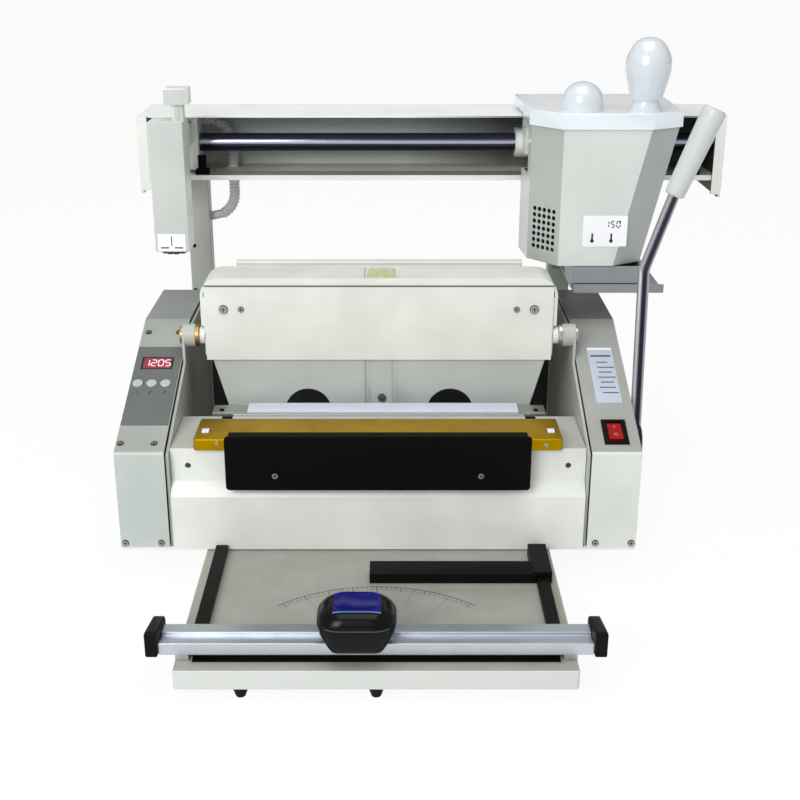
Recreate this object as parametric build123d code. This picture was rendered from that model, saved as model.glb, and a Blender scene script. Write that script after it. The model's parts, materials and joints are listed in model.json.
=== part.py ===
from build123d import *
import math
import os

# Desktop perfect binding machine: a book clamp that turns over, a milling unit
# and a glue pot on a rod above it, a nip on the deck and a trimmer in front.
# All sizes in millimetres. X runs right from the body's middle plane, Y back
# from the body's front face and Z up from the desk. At the end everything is
# moved so that the origin lies at the bottom centre of the whole machine.

# Running gaps
slide_gap = 0.3
fit_gap = 0.06
seat_gap = 0.05

# Body
body_half = 280.0
body_depth = 345.0
base_lift = 33.2
base_sheet = 3.0
base_depth = body_depth + 50.0
deck_level = 147.3
deck_sheet = 3.0
slope_depth = 218.0
top_level = 228.3
casing_sheet = 2.0
housing_width = 54.0
frame_outer = body_half - housing_width
frame_plate = 3.0
frame_margin = 4.0
housing_inner = frame_outer + 1.0
panel_half = frame_outer - frame_plate - 0.5
panel_step = 12.0
panel_low_top = 96.2
panel_high_foot = 110.3
panel_hole_x = panel_half - 18.6
panel_hole_level = 128.0
panel_hole_radius = 3.2
slot_count = 9
slot_pitch = 13.0
slot_half_width = 2.5
slot_foot = 80.0
slot_top = 130.0
base_top = base_lift + base_sheet

# Book clamp
pivot_y = 160.0
pivot_level = 227.0
ear_radius = 13.0
clamp_half = frame_outer - 22.5
clamp_front = 149.0
clamp_wall = 3.5
clamp_top = 297.0
cover_corner = 22.0
cover_foot = 240.0
cover_band = 8.5
plate_corner = 3.0
front_plate_y = 150.0
front_plate_sheet = 3.0
front_plate_half = clamp_half - 5.0
front_plate_foot = 200.0
lower_panel_y = 154.0
lower_panel_foot = 127.0
lower_half_top = clamp_half - 10.5
lower_half_foot = clamp_half - 31.5
access_x = 83.0
access_level = 136.0
access_radius = 27.0
channel_middle = 3.0
channel_half = 19.5
channel_depth = 1.8
channel_rib_half = 12.0
channel_rib = 1.2
fixed_jaw_front = 203.0
fixed_jaw_face = 209.0
jaw_half = clamp_half - 39.5
jaw_foot = 205.0
cheek_plate = 6.0
cheek_top = clamp_top - cover_corner - 1.0
jaw_opening = 30.0
jaw_plate = 12.0
moving_jaw_half = jaw_half + 7.0
moving_jaw_foot = 213.0
moving_jaw_top = 293.5
jaw_travel_out = 10.0
jaw_travel_in = 24.0
rod_x = jaw_half - 7.0
rod_level = 232.0
rod_radius = 4.0
crossbar_gap = 1.0
crossbar_plate = 10.0
crossbar_foot = 220.0
crossbar_top = 243.0
crossbar_block_half = 22.0
screw_level = 258.0
screw_radius = 6.0
screw_pitch = 4.0
screw_socket = 6.0
knob_radius = 20.0
knob_width = 16.0
trunnion_radius = 8.0
trunnion_boss = 10.0
bush_radius = 10.0
bush_flange = 13.0
bush_flange_width = 4.5
bush_face = clamp_half + 3.0
clamp_screw_x = [clamp_half - 26.5, clamp_half - 46.5]
clamp_screw_level = 260.5
clamp_screw_heads = [5.2, 3.4]
nut_level = 152.0
nut_radius = 5.0
nut_height = 3.0
vial_half = 15.0
vial_pocket = 20.0

# Nip on the deck
nip_front = 7.0
nip_depth = 60.0
nip_half = frame_outer - 30.0
nip_height = 12.7
nip_slot_x = nip_half - 10.0
nip_slot_y = 31.0
nip_window = 10.6
peg_side = 8.0
back_nip_half = frame_outer - 35.5
back_nip_core = nip_slot_x - 20.0
back_nip_y = 111.5
back_nip_depth = 25.0
back_nip_rise = 2.0
back_nip_drop = 6.0
nip_strip_half = 154.5
nip_strip_middle = 4.5
nip_strip_height = 3.0
guide_half = 161.5
guide_front = -8.0
guide_sheet = 2.0
guide_foot = 108.0
guide_top = 169.5
guide_lip = 13.0
guide_corner = 4.0
guide_screw_x = 109.0
guide_screw_level = 125.0

# Lever and its cam shaft
shaft_y = 85.0
shaft_level = 126.0
shaft_radius = 6.0
cam_radius = 13.0
cam_offset = 8.0
cam_x = nip_slot_x - 12.0
cam_width = 10.0
lever_swing = 100.0
follower_gap = 0.5
follower_plate = 6.0
hub_radius = 20.0
hub_width = 12.0
lever_x = body_half + 8.5
lever_rod_radius = 6.3
lever_bend_y = 111.0
lever_bend_level = 318.0
lever_top_x = body_half + 36.5
lever_top_y = 113.0
lever_top_level = 399.0
grip_end_x = body_half + 72.5
grip_end_level = 490.0
grip_foot_radius = 10.8
grip_end_radius = 13.0
grip_socket = 18.0

# Columns, beam and rod
column_inner = frame_outer - 8.0
column_width = 28.0
column_front = body_depth + 17.0
column_depth = 24.0
column_wall = 2.5
beam_left = -287.0
beam_right = 412.0
beam_front = 300.0
beam_depth = 106.0
beam_bottom = 379.0
beam_top = 456.0
beam_lip = 6.0
end_sheet = 3.0
end_flange = 12.0
left_end_foot = 363.5
right_end_foot = 358.5
guide_rod_y = 345.0
guide_rod_level = 418.0
guide_rod_radius = 11.0

# Metering chain, 6.35 mm pitch
chain_y = 316.0
chain_pitch = 6.35
chain_links = 46
chain_start = -206.0
link_roller = 1.65
link_pin = 0.85
link_plate_half = 2.9
link_plate = 0.75
link_inner = 1.6
sprocket_teeth = 12
sprocket_width = 2.8
anchor_length = 16.0
anchor_half = 7.0
anchor_height = 26.0

# Glue pot
pot_front = 200.0
pot_rear = 292.0
pot_left = 171.0
pot_foot = 298.4
pot_top = 455.0
pot_slant = 35.0
pot_wall = 2.0
pot_corner = 175.5
pot_front_left = 208.0
pot_front_right = 307.0
pot_facet = 36.0
pot_right = 342.0
pot_notch_front = 252.0
pot_notch_foot = 396.0
pot_notch_top = 447.0
lid_height = 18.0
lid_over = 3.0
lid_rear = 372.0
lid_plate = 3.0
lid_underside = 461.3
hinge_y = lid_rear + 4.5
hinge_level = 463.5
hinge_pin = 2.0
hinge_knuckle = 3.6
knuckle_length = 13.0
knuckle_inset = 13.0
dome_x = 230.3
dome_y = 225.0
dome_radius = 23.7
dome_collar = 8.5
egg_x = 301.7
egg_y = 223.0
egg_radius = 25.8
egg_neck = 14.2
egg_plinth = 19.5
egg_top = 553.0
egg_wide = 524.5
egg_foot = 484.0
roller_x = 244.0
roller_radius = 26.0
roller_front = 212.0
roller_back = 257.0
spine_level = pot_foot - 0.4
roller_shaft = 5.0
pulley_radius = 10.0
pulley_front = 270.0
pulley_back = 278.0
tank_half = 33.0
tank_wall = 2.5
tank_front = 207.0
tank_back = 262.0
tank_foot = 304.0
tank_top = 440.0
sprocket_shaft = 4.0
bush_outer = 18.0
pot_bush_left = 167.0
pot_bush_right = 294.0
arm_foot = 412.0
arm_top = 446.0
vent_columns = 5
vent_rows = 7
vent_pitch = 7.4
vent_radius = 2.6
vent_middle_level = 338.0
pot_floor_front = 262.0
pot_floor_sheet = 2.0

# Drip tray
tray_left = 225.5
tray_right = 308.0
tray_front = 201.0
tray_back = 268.0
tray_gap = 0.9
tray_height = 20.5
tray_top = pot_foot - tray_gap
tray_foot = tray_top - tray_height
shelf_left = tray_left + 2.0
shelf_right = 333.0
shelf_drop = 10.8
shelf_level = tray_foot - shelf_drop
shelf_sheet = 3.0

# Milling unit
mill_left = -260.5
mill_width = 39.5
mill_corner = 1.5
mill_front = 206.0
mill_depth = 44.0
mill_foot = 313.5
mill_top = 462.0
cutter_radius = 16.5
cutter_foot = 309.0
mill_drop = cutter_foot - spine_level + 0.5
motor_radius = 17.0
motor_foot = 330.0
motor_top = 440.0
spindle_radius = 4.0
mill_arm_foot = 420.0
mill_bush_left = mill_left - 1.0
mill_bush_right = -222.0
mill_block_front = 325.0
mill_block_back = 365.0
mill_block_foot = 387.0
mill_block_top = 451.0
mill_rail_half = 10.0
mill_rail_neck = 5.0
mill_rail_sheet = 2.2
mill_grip_side = 27.0
mill_grip_foot = 480.3
mill_grip_top = 498.3
mill_grip_shift = 12.7
mill_neck_radius = 7.5

# Ribbed cable conduit
conduit_radius = 6.8
conduit_bore = 5.2
conduit_groove = 1.1
conduit_y = 378.0
conduit_foot = 318.0
conduit_x = -186.5
conduit_bend = 30.0
conduit_level = 440.0
conduit_pitch = 4.2

# Control panel and switch
panel_left = -body_half + 0.5
panel_right = -frame_outer - 2.0
panel_low = 44.0
panel_high = 178.0
panel_sheet = 1.0
display_x = -body_half + 26.0
display_s = 148.6
display_width = 36.0
display_height = 22.0
button_s = 111.8
button_middle = -body_half + 24.7
button_pitch = 15.6
button_radius = 5.9
button_rise = 2.0
button_travel = 1.5
board_drop = 10.0
board_sheet = 1.6
board_width = 44.0
board_length = 84.0
switch_x = body_half - 25.0
switch_s = 32.8
switch_width = 26.5
switch_height = 39.0
rocker_width = 15.5
rocker_height = 29.0

# Power inlet on the back
inlet_x = -150.0
inlet_level = 80.0
inlet_width = 48.0
inlet_height = 28.0

# Trimmer
board_half = 187.0
board_front = -234.0
board_back = 150.0
board_top = 32.0
board_foot = 12.0
foot_radius = 8.5
foot_tip_radius = 4.5
foot_x = 126.0
foot_front_y = -225.0
foot_set_back = 55.0
foot_back_y = 120.0
body_foot_radius = 17.0
body_foot_x = body_half - 30.0
body_foot_front = 95.0
body_foot_back = body_depth + 21.0
side_guide_left = -176.0
side_guide_right = 164.5
side_guide_width = 12.5
side_guide_height = 8.0
side_guide_back = -2.0
rail_half = 201.5
rail_front = -218.0
rail_back = -183.0
rail_foot = 39.0
rail_top = 51.0
rail_groove_front = -212.0
rail_groove_back = -198.0
rail_groove_foot = 47.5
rail_cap = 11.5
rail_cap_rise = 12.8
strip_half = 171.0
strip_front = -219.5
strip_back = -209.0
strip_height = 1.0
head_x = -18.0
head_half = 30.0
head_press = 8.0
head_base_height = 3.0
post_radius = 3.0
post_x = 14.0
post_y = -198.0
post_top = 71.0
cap_foot = rail_top + 2 * slide_gap + head_base_height + head_press
cap_skirt_foot = 48.0
cap_skirt_front = -233.0
cap_back = -176.0
cap_wide = 37.0
cap_wide_level = 73.0
cap_top = 85.5
blade_radius = 14.0
blade_sheet = 1.2
blade_y = -221.4
blade_gap = 1.6
axle_radius = 3.0
gauge_left = -8.5
gauge_right = 161.0
gauge_front = -73.0
gauge_depth = 28.0
gauge_height = 11.5
runner_back = -10.0
gauge_back_travel = 6.0
gauge_front_travel = 80.0

# Screws
screw_head_radius = 3.6
screw_head_height = 1.6
shank_radius = 1.6
shank_length = 5.0
shank_hole = 1.75
slope_screw_left = [
    (-body_half + 5.0, 15.6), (-frame_outer - 13.0, 15.6),
    (-body_half + 7.5, 206.5), (-frame_outer - 10.5, 206.5),
]
housing_foot_screws = [frame_outer + 10.0, body_half - 5.0]
housing_foot_level = base_lift + 8.0

# Worked-out places
slope_ratio = (top_level - deck_level) / slope_depth
slope_angle = math.atan(slope_ratio)
slope = Plane(
    origin=(0, 0, deck_level),
    x_dir=(1, 0, 0),
    z_dir=(0, -math.sin(slope_angle), math.cos(slope_angle)),
)
moving_jaw_face = fixed_jaw_face + jaw_opening
moving_jaw_back = moving_jaw_face + jaw_plate
crossbar_front = moving_jaw_back + jaw_travel_out + crossbar_gap
crossbar_back = crossbar_front + crossbar_plate
knob_front = crossbar_back + jaw_travel_in + 2 * crossbar_gap
roller_level = spine_level + roller_radius - 0.5
chain_level = beam_bottom + deck_sheet - 1.0 + link_plate_half + seat_gap
sprocket_pitch_radius = sprocket_teeth * chain_pitch / (2 * math.pi)
sprocket_level = chain_level + sprocket_pitch_radius
beam_sheet = deck_sheet - 1.0
beam_back = beam_front + beam_depth
lid_top = pot_top + lid_height
cam_swing = math.radians(lever_swing / 2)
cam_travel = 2 * cam_offset * math.sin(cam_swing)
follower_face = shaft_y + cam_radius - cam_offset * math.sin(cam_swing) + follower_gap
mill_right = mill_left + mill_width
mill_middle_x = mill_left + mill_width / 2
mill_middle_y = mill_front + mill_depth / 2
end_plate_screws = [
    (beam_left - end_sheet, -1, left_end_foot + 6), (beam_right + end_sheet, 1, right_end_foot + 6),
]


def block(x0, x1, y0, y1, z0, z1):
    """A box between two corners."""
    size = (x1 - x0, y1 - y0, z1 - z0)
    return Pos((x0 + x1) / 2, (y0 + y1) / 2, (z0 + z1) / 2) * Box(*size)


def bar_x(radius, x0, x1, y, z):
    """A round bar along X."""
    turn = Rot(0, 90, 0)
    return Pos((x0 + x1) / 2, y, z) * turn * Cylinder(radius, x1 - x0)


def bar_y(radius, y0, y1, x, z):
    """A round bar along Y."""
    turn = Rot(90, 0, 0)
    return Pos(x, (y0 + y1) / 2, z) * turn * Cylinder(radius, y1 - y0)


def bar_z(radius, z0, z1, x, y):
    """A round bar along Z."""
    return Pos(x, y, (z0 + z1) / 2) * Cylinder(radius, z1 - z0)


def prism_x(points, x0, x1):
    """An outline in Y and Z, drawn out along X."""
    face = make_face(Polyline(*points, close=True))
    return extrude(Plane.YZ.offset(x0) * face, amount=x1 - x0)


def prism_y(points, y0, y1):
    """An outline in X and Z, drawn out along Y."""
    plane = Plane(origin=(0, y0, 0), x_dir=(1, 0, 0), z_dir=(0, -1, 0))
    face = make_face(Polyline(*points, close=True))
    return extrude(plane * face, amount=y0 - y1)


def prism_z(points, z0, z1):
    """An outline in X and Y, drawn out along Z."""
    face = make_face(Polyline(*points, close=True))
    return extrude(Plane.XY.offset(z0) * face, amount=z1 - z0)


def rounded_sheet(x0, x1, z0, z1, radius, y0, y1):
    """An upright sheet with rounded corners."""
    plane = Plane(origin=((x0 + x1) / 2, y0, (z0 + z1) / 2), x_dir=(1, 0, 0), z_dir=(0, -1, 0))
    face = RectangleRounded(x1 - x0, z1 - z0, radius)
    return extrude(plane * face, amount=y0 - y1)


def on_slope(shape, x, s, h):
    """Place a shape on the sloping top: x across, s up the slope, h above it."""
    return slope.location * Pos(x, s, h) * shape


def screw(place, head_radius=screw_head_radius):
    """A pan head screw whose head stands on the local XY plane."""
    head = Pos(0, 0, screw_head_height / 2) * Cylinder(head_radius, screw_head_height)
    head = chamfer(head.edges().filter_by(GeomType.CIRCLE).sort_by(Axis.Z)[-1], screw_head_height / 3)
    cross = 1.15 * head_radius
    slot = Pos(0, 0, screw_head_height) * (Box(cross, 0.9, 1.2) + Box(0.9, cross, 1.2))
    shank = Pos(0, 0, -shank_length / 2) * Cylinder(shank_radius, shank_length)
    return place * (head - slot + shank)


def screw_hole(place):
    """The clearance hole for that screw."""
    return place * Pos(0, 0, -shank_length / 2) * Cylinder(shank_hole, shank_length + 2 * seat_gap + 2)


def facing_front(x, y, z):
    return Location(Plane(origin=(x, y, z), x_dir=(1, 0, 0), z_dir=(0, -1, 0)))


def facing_side(x, y, z, way):
    return Location(Plane(origin=(x, y, z), x_dir=(0, 1, 0), z_dir=(way, 0, 0)))


def on_slope_place(x, s):
    return slope.location * Pos(x, s, 0)


def housing_profile(shift):
    """The side outline of a housing, drawn in by the given amount."""
    drop = shift / math.cos(slope_angle)
    front = shift
    level = top_level - shift
    knee = (level - deck_level + drop) / slope_ratio
    foot = base_top if shift == 0 else base_top - 1
    return [
        (front, foot),
        (front, deck_level + slope_ratio * front - drop),
        (knee, level),
        (body_depth - shift, level),
        (body_depth - shift, foot),
    ]


def housing(side):
    """One end housing: a folded shell, open below and towards the frame."""
    x0, x1 = sorted((side * housing_inner, side * body_half))
    shell = prism_x(housing_profile(0), x0, x1)
    knees = shell.edges().filter_by(Axis.X).group_by(Axis.Z)
    front_knee = knees[1].sort_by(Axis.Y)[0]
    top_knee = knees[-1].sort_by(Axis.Y)[0]
    shell = fillet([front_knee, top_knee], 4.0)
    c0, c1 = sorted((side * (housing_inner - 1), side * (body_half - casing_sheet)))
    shell -= prism_x(housing_profile(casing_sheet), c0, c1)
    for x in housing_foot_screws:
        shell -= screw_hole(facing_front(side * x, 0, housing_foot_level))
    return shell


def make_left_housing():
    shell = housing(-1)
    shell -= on_slope(Box(display_width + 2, display_height + 2, 12), display_x, display_s, 0)
    for i in range(3):
        x = button_middle + (i - 1) * button_pitch
        shell -= on_slope(Cylinder(button_radius + 1, 12), x, button_s, 0)
    for x, s in slope_screw_left:
        shell -= screw_hole(on_slope_place(x, s))
    return shell


def make_right_housing():
    shell = housing(1)
    shell -= on_slope(Box(switch_width - 3, switch_height - 3, 12), switch_x, switch_s, 0)
    shell -= bar_x(shaft_radius + 3, body_half - 6, body_half + 1, shaft_y, shaft_level)
    return shell


def make_base():
    plate = block(-body_half, body_half, 0, base_depth, base_lift, base_top)
    corners = plate.edges().filter_by(Axis.Z)
    return fillet(corners, 3.0)


def make_side_frames():
    profile = [
        (frame_margin, base_top),
        (frame_margin, deck_level - frame_margin),
        (slope_depth, top_level - frame_margin),
        (body_depth - frame_margin, top_level - frame_margin),
        (body_depth - frame_margin, base_top),
    ]
    plates = []
    for side in (-1, 1):
        x0, x1 = sorted((side * (frame_outer - frame_plate), side * frame_outer))
        plate = prism_x(profile, x0, x1)
        lug_foot = deck_level + slope_ratio * pivot_y - 3 * frame_margin
        plate += block(x0, x1, pivot_y - ear_radius, pivot_y + ear_radius, lug_foot, pivot_level)
        boss_face = bush_face + bush_flange_width + seat_gap
        e0, e1 = sorted((side * boss_face, side * frame_outer))
        plate += bar_x(ear_radius, e0, e1, pivot_y, pivot_level)
        plate -= bar_x(bush_radius + seat_gap, e0 - 1, e1 + 1, pivot_y, pivot_level)
        plate -= bar_x(shaft_radius + 3, x0 - 1, x1 + 1, shaft_y, shaft_level)
        plates.append(plate)
    return plates


def make_front_panel():
    t = casing_sheet
    profile = [
        (0, base_top), (0, panel_low_top),
        (panel_step, panel_high_foot), (panel_step, deck_level),
        (panel_step + t, deck_level), (panel_step + t, panel_high_foot - 0.6),
        (t, panel_low_top - 0.6), (t, base_top),
    ]
    panel = prism_x(profile, -panel_half, panel_half)
    for side in (-1, 1):
        x = side * panel_hole_x
        panel -= bar_y(panel_hole_radius, panel_step - 1, panel_step + t + 1, x, panel_hole_level)
        place = facing_front(side * guide_screw_x, panel_step, guide_screw_level)
        panel -= screw_hole(place)
    return panel


def make_deck():
    t = casing_sheet
    front = panel_step + t
    back = back_nip_y - 5.5
    deck = block(-panel_half, panel_half, front, back, deck_level - deck_sheet, deck_level)
    for side in (-1, 1):
        x = side * nip_slot_x
        half = peg_side / 2 + slide_gap
        slot_back = nip_slot_y + nip_window / 2 + cam_travel + 2
        deck -= block(x - half, x + half, nip_slot_y - 6, slot_back, deck_level - 5, deck_level + 1)
        n0, n1 = sorted((side * back_nip_core, side * (back_nip_core + 12)))
        deck -= block(n0, n1, back - 12, back + 1, deck_level - 5, deck_level + 1)
    return deck


def make_rear_panel():
    t = casing_sheet
    panel = block(-panel_half, panel_half, body_depth - t, body_depth, base_top, top_level)
    for i in range(slot_count):
        x = (i - (slot_count - 1) / 2) * slot_pitch
        x0, x1 = x - slot_half_width, x + slot_half_width
        corner = slot_half_width - 0.1
        panel -= rounded_sheet(x0, x1, slot_foot, slot_top, corner, body_depth - t - 1, body_depth + 1)
    low, high = inlet_level - 10.5, inlet_level + 10.5
    panel -= block(inlet_x - 14.5, inlet_x + 14.5, body_depth - 4, body_depth + 1, low, high)
    return panel


def make_back_nip():
    top = deck_level + back_nip_rise
    back = back_nip_y + back_nip_depth
    under = deck_level - deck_sheet
    bar = block(-back_nip_core, back_nip_core, back_nip_y - 15, back, under - back_nip_drop, under)
    bar += block(-back_nip_core, back_nip_core, back_nip_y - 5.5, back, under, top)
    bar += block(-back_nip_half, back_nip_half, back_nip_y, back, under, top)
    return bar


def make_nip_strip():
    foot = deck_level + back_nip_rise
    x0, x1 = nip_strip_middle - nip_strip_half, nip_strip_middle + nip_strip_half
    strip = block(x0, x1, back_nip_y, back_nip_y + back_nip_depth, foot, foot + nip_strip_height)
    long_edges = strip.edges().filter_by(Axis.X).group_by(Axis.Z)[-1]
    return fillet(long_edges, nip_strip_height * 0.45)


def make_guide_plate():
    face_back = guide_front + guide_sheet
    half, top = guide_half, guide_top
    plate = rounded_sheet(-half, half, guide_foot, top, guide_corner, guide_front, face_back)
    lip_half = guide_half - guide_corner
    lip_back = guide_front + guide_lip
    plate += block(-lip_half, lip_half, guide_front, lip_back, top - guide_sheet, top)
    for side in (-1, 1):
        x = side * guide_screw_x
        plate += bar_y(5.0, face_back, panel_step, x, guide_screw_level)
        plate -= bar_y(shank_hole, guide_front - 1, panel_step + 1, x, guide_screw_level)
    return plate


def make_front_nip():
    foot = deck_level + slide_gap
    top = foot + nip_height
    bar = block(-nip_half, nip_half, nip_front, nip_front + nip_depth, foot, top)
    bar = fillet(bar.edges().filter_by(Axis.Z), 3.0)
    bar = chamfer(bar.faces().sort_by(Axis.Z)[-1].edges(), 0.8)
    half = nip_window / 2
    for side in (-1, 1):
        x = side * nip_slot_x
        bar -= block(x - half, x + half, nip_slot_y - half, nip_slot_y + half, foot - 1, top + 1)
    return bar


def make_nip_lugs():
    """Nylon followers: a peg in the front bar, a foot under the deck, a cam plate."""
    lugs = []
    under = deck_level - deck_sheet - 0.4
    foot_low = under - 8.0
    top = deck_level + slide_gap + nip_height + 1.0
    plate_back = follower_face + follower_plate
    for side in (-1, 1):
        x = side * nip_slot_x
        half = peg_side / 2
        y0 = nip_slot_y - nip_window / 2 + slide_gap
        y1 = nip_slot_y + nip_window / 2 - slide_gap
        lug = block(x - half, x + half, y0, y1, foot_low, top)
        lug += block(x - half, x + half, y0, plate_back, foot_low, under)
        p0, p1 = sorted((side * (cam_x - cam_width / 2 - 1), side * (nip_slot_x + half)))
        lug += block(p0, p1, follower_face, plate_back, shaft_level - cam_radius - 5, under)
        lugs.append(lug)
    return lugs


def make_lever_shaft():
    """The cross shaft with its two eccentric cams."""
    shaft = bar_x(shaft_radius, -frame_outer, lever_x + 5.5, shaft_y, shaft_level)
    y = shaft_y - cam_offset * math.sin(cam_swing)
    z = shaft_level - cam_offset * math.cos(cam_swing)
    for side in (-1, 1):
        shaft += bar_x(cam_radius, side * cam_x - cam_width / 2, side * cam_x + cam_width / 2, y, z)
    return shaft


def make_lever_rod():
    """The hub and the bent steel rod."""
    hub_in = body_half + 2.0
    hub = bar_x(hub_radius, hub_in, hub_in + hub_width, shaft_y, shaft_level)
    hub = chamfer(hub.edges().filter_by(GeomType.CIRCLE), 1.2)
    hub -= bar_x(shaft_radius + seat_gap, hub_in - 1, hub_in + hub_width + 1, shaft_y, shaft_level)
    return hub + lever_bar(lever_rod_radius)


def grip_axis():
    """The grip's foot and the direction it points in."""
    start = Vector(lever_top_x, lever_top_y, lever_top_level)
    end = Vector(grip_end_x, lever_top_y, grip_end_level)
    return start, (end - start).normalized(), (end - start).length


def lever_bar(radius):
    """The bent rod from the hub up into the grip."""
    start = Vector(lever_x, shaft_y + 2.0, shaft_level + hub_radius - 4)
    bend = Vector(lever_x + 1.5, lever_bend_y, lever_bend_level)
    foot, axis, length = grip_axis()
    path = FilletPolyline(start, bend, foot, foot + axis * grip_socket, radius=30)
    section = Plane(origin=start, z_dir=path % 0) * Circle(radius)
    return sweep(section, path=path)


def make_lever_grip():
    """The tapered plastic grip, slipped over the rod's end."""
    foot, axis, length = grip_axis()
    plane = Plane(origin=foot, x_dir=(0, 1, 0), z_dir=axis)
    profile = Polyline(
        (0, 0), (grip_foot_radius - 1.5, 0), (grip_foot_radius, 2.0),
        (grip_end_radius, length - 2.5), (grip_end_radius - 2.0, length), (0, length), close=True,
    )
    grip = plane.location * revolve(Plane.XZ * make_face(profile), axis=Axis.Z)
    return grip - lever_bar(lever_rod_radius + seat_gap)


def make_clamp_cover():
    """The top cover of the clamp, folded down both sides, with its front band."""
    y0 = front_plate_y + front_plate_sheet + slide_gap
    y1 = fixed_jaw_front
    outer = block(-clamp_half, clamp_half, clamp_front, y1, cover_foot, clamp_top)
    outer = fillet(outer.edges().filter_by(Axis.Y).group_by(Axis.Z)[-1], cover_corner)
    inner_half = clamp_half - clamp_wall
    inner = block(-inner_half, inner_half, y0 + clamp_wall, y1 + 1, cover_foot - 1, clamp_top - clamp_wall)
    inner = fillet(inner.edges().filter_by(Axis.Y).group_by(Axis.Z)[-1], cover_corner - clamp_wall)
    band_foot = clamp_top - cover_band
    cover = outer - inner
    cover -= block(-clamp_half - 1, clamp_half + 1, clamp_front - 1, y0, cover_foot - 1, band_foot)
    opening_top = band_foot - cover_band
    cover -= block(-inner_half, inner_half, y0 - 1, y0 + clamp_wall + 1, cover_foot - 1, opening_top)
    low = channel_middle - vial_pocket
    high = channel_middle + vial_pocket
    return cover - block(low, high, clamp_front + 3, y1 - 4, clamp_top - cover_band - 1, clamp_top + 1)


def make_vial():
    """The level vial in its cradle on the cover."""
    low = channel_middle - vial_pocket + seat_gap
    high = channel_middle + vial_pocket - seat_gap
    y0 = clamp_front + 3 + seat_gap
    y1 = fixed_jaw_front - 4 - seat_gap
    foot = clamp_top - clamp_wall
    cradle = block(low, high, y0, y1, foot - 1.5, foot)
    x0, x1 = channel_middle - vial_half, channel_middle + vial_half
    return cradle + block(x0, x1, y0 + 2, y1 - 2, foot, clamp_top - 0.8)


def make_clamp_front():
    """The clamp's front sheet with its lower, narrower part."""
    t = front_plate_sheet
    top = clamp_top - cover_band - 0.8
    half, foot = front_plate_half, front_plate_foot
    plate = block(-half, half, front_plate_y, front_plate_y + t, foot, top)
    plate = fillet(plate.edges().filter_by(Axis.Y).group_by(Axis.Z)[-1], plate_corner)
    half = lower_half_top
    plate += block(-half, half, front_plate_y, lower_panel_y + t, foot, foot + t)
    lower = [
        (-lower_half_top, front_plate_foot + t), (-lower_half_foot, lower_panel_foot),
        (lower_half_foot, lower_panel_foot), (lower_half_top, front_plate_foot + t),
    ]
    plate += prism_y(lower, lower_panel_y, lower_panel_y + t)
    low = channel_middle - channel_half
    high = channel_middle + channel_half
    back = lower_panel_y + channel_depth
    plate -= block(low, high, lower_panel_y - 1, back, lower_panel_foot - 1, foot)
    rib_low = channel_middle - channel_rib_half
    rib_high = channel_middle + channel_rib_half
    rib_back = lower_panel_y + channel_depth
    plate += block(rib_low, rib_high, rib_back - channel_rib, rib_back, lower_panel_foot, foot - 1)
    for side in (-1, 1):
        plate -= bar_y(access_radius, lower_panel_y - 1, lower_panel_y + t + 1, side * access_x, access_level)
        for x in clamp_screw_x:
            plate -= screw_hole(facing_front(side * x, front_plate_y, clamp_screw_level))
    return plate



def make_clamp_screws():
    screws = []
    for side in (-1, 1):
        for x, head_radius in zip(clamp_screw_x, clamp_screw_heads):
            screws.append(screw(facing_front(side * x, front_plate_y, clamp_screw_level), head_radius))
    nut = extrude(RegularPolygon(nut_radius, 6), amount=nut_height)
    rib_face = lower_panel_y + channel_depth - channel_rib
    screws.append(facing_front(channel_middle, rib_face, nut_level) * nut)
    return screws


def make_jaw_frame():
    """The fixed jaw with its cheeks, its two guide rods and the rear crossbar."""
    outer = clamp_half - clamp_wall
    jaw = block(-jaw_half, jaw_half, fixed_jaw_front, fixed_jaw_face, jaw_foot, clamp_top)
    jaw += block(-outer, outer, fixed_jaw_front, fixed_jaw_face, jaw_foot, cover_foot - 2)
    back = crossbar_back
    for side in (-1, 1):
        c0, c1 = sorted((side * (outer - cheek_plate), side * outer))
        face = front_plate_y + front_plate_sheet
        jaw += block(c0, c1, face, fixed_jaw_front, jaw_foot, cheek_top)
        jaw += bar_y(rod_radius, fixed_jaw_face, crossbar_front, side * rod_x, rod_level)
    bar = block(-jaw_half, jaw_half, crossbar_front, back, crossbar_foot, crossbar_top)
    half = crossbar_block_half
    bar += block(-half, half, crossbar_front, back, crossbar_top, screw_level + half - 6)
    bar -= bar_y(screw_radius + 0.1, crossbar_front - 1, back + 1, 0, screw_level)
    return jaw + bar


def make_trunnions():
    outer = clamp_half - clamp_wall
    pins = []
    for side in (-1, 1):
        p0, p1 = sorted((side * outer, side * frame_outer))
        b0, b1 = sorted((side * outer, side * (bush_face - slide_gap)))
        pin = bar_x(trunnion_radius, p0, p1, pivot_y, pivot_level)
        pins.append(pin + bar_x(trunnion_boss, b0, b1, pivot_y, pivot_level))
    return pins


def make_bushes():
    """Brass bushes: two for the clamp's trunnions and three for the lever shaft."""
    bushes = []
    for side in (-1, 1):
        f0, f1 = sorted((side * bush_face, side * (bush_face + bush_flange_width)))
        b0, b1 = sorted((side * bush_face, side * (frame_outer + frame_plate)))
        bush = bar_x(bush_flange, f0, f1, pivot_y, pivot_level)
        bush += bar_x(bush_radius, b0, b1, pivot_y, pivot_level)
        bushes.append(bush - bar_x(trunnion_radius + fit_gap, b0 - 1, b1 + 1, pivot_y, pivot_level))
    outer = shaft_radius + 3 - seat_gap
    spans = [(-frame_outer, frame_plate - frame_outer), (frame_outer - frame_plate, frame_outer)]
    spans.append((body_half - casing_sheet, body_half + 1))
    for x0, x1 in spans:
        ring = bar_x(outer, x0, x1, shaft_y, shaft_level)
        bushes.append(ring - bar_x(shaft_radius + fit_gap, x0 - 1, x1 + 1, shaft_y, shaft_level))
    return bushes


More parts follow.
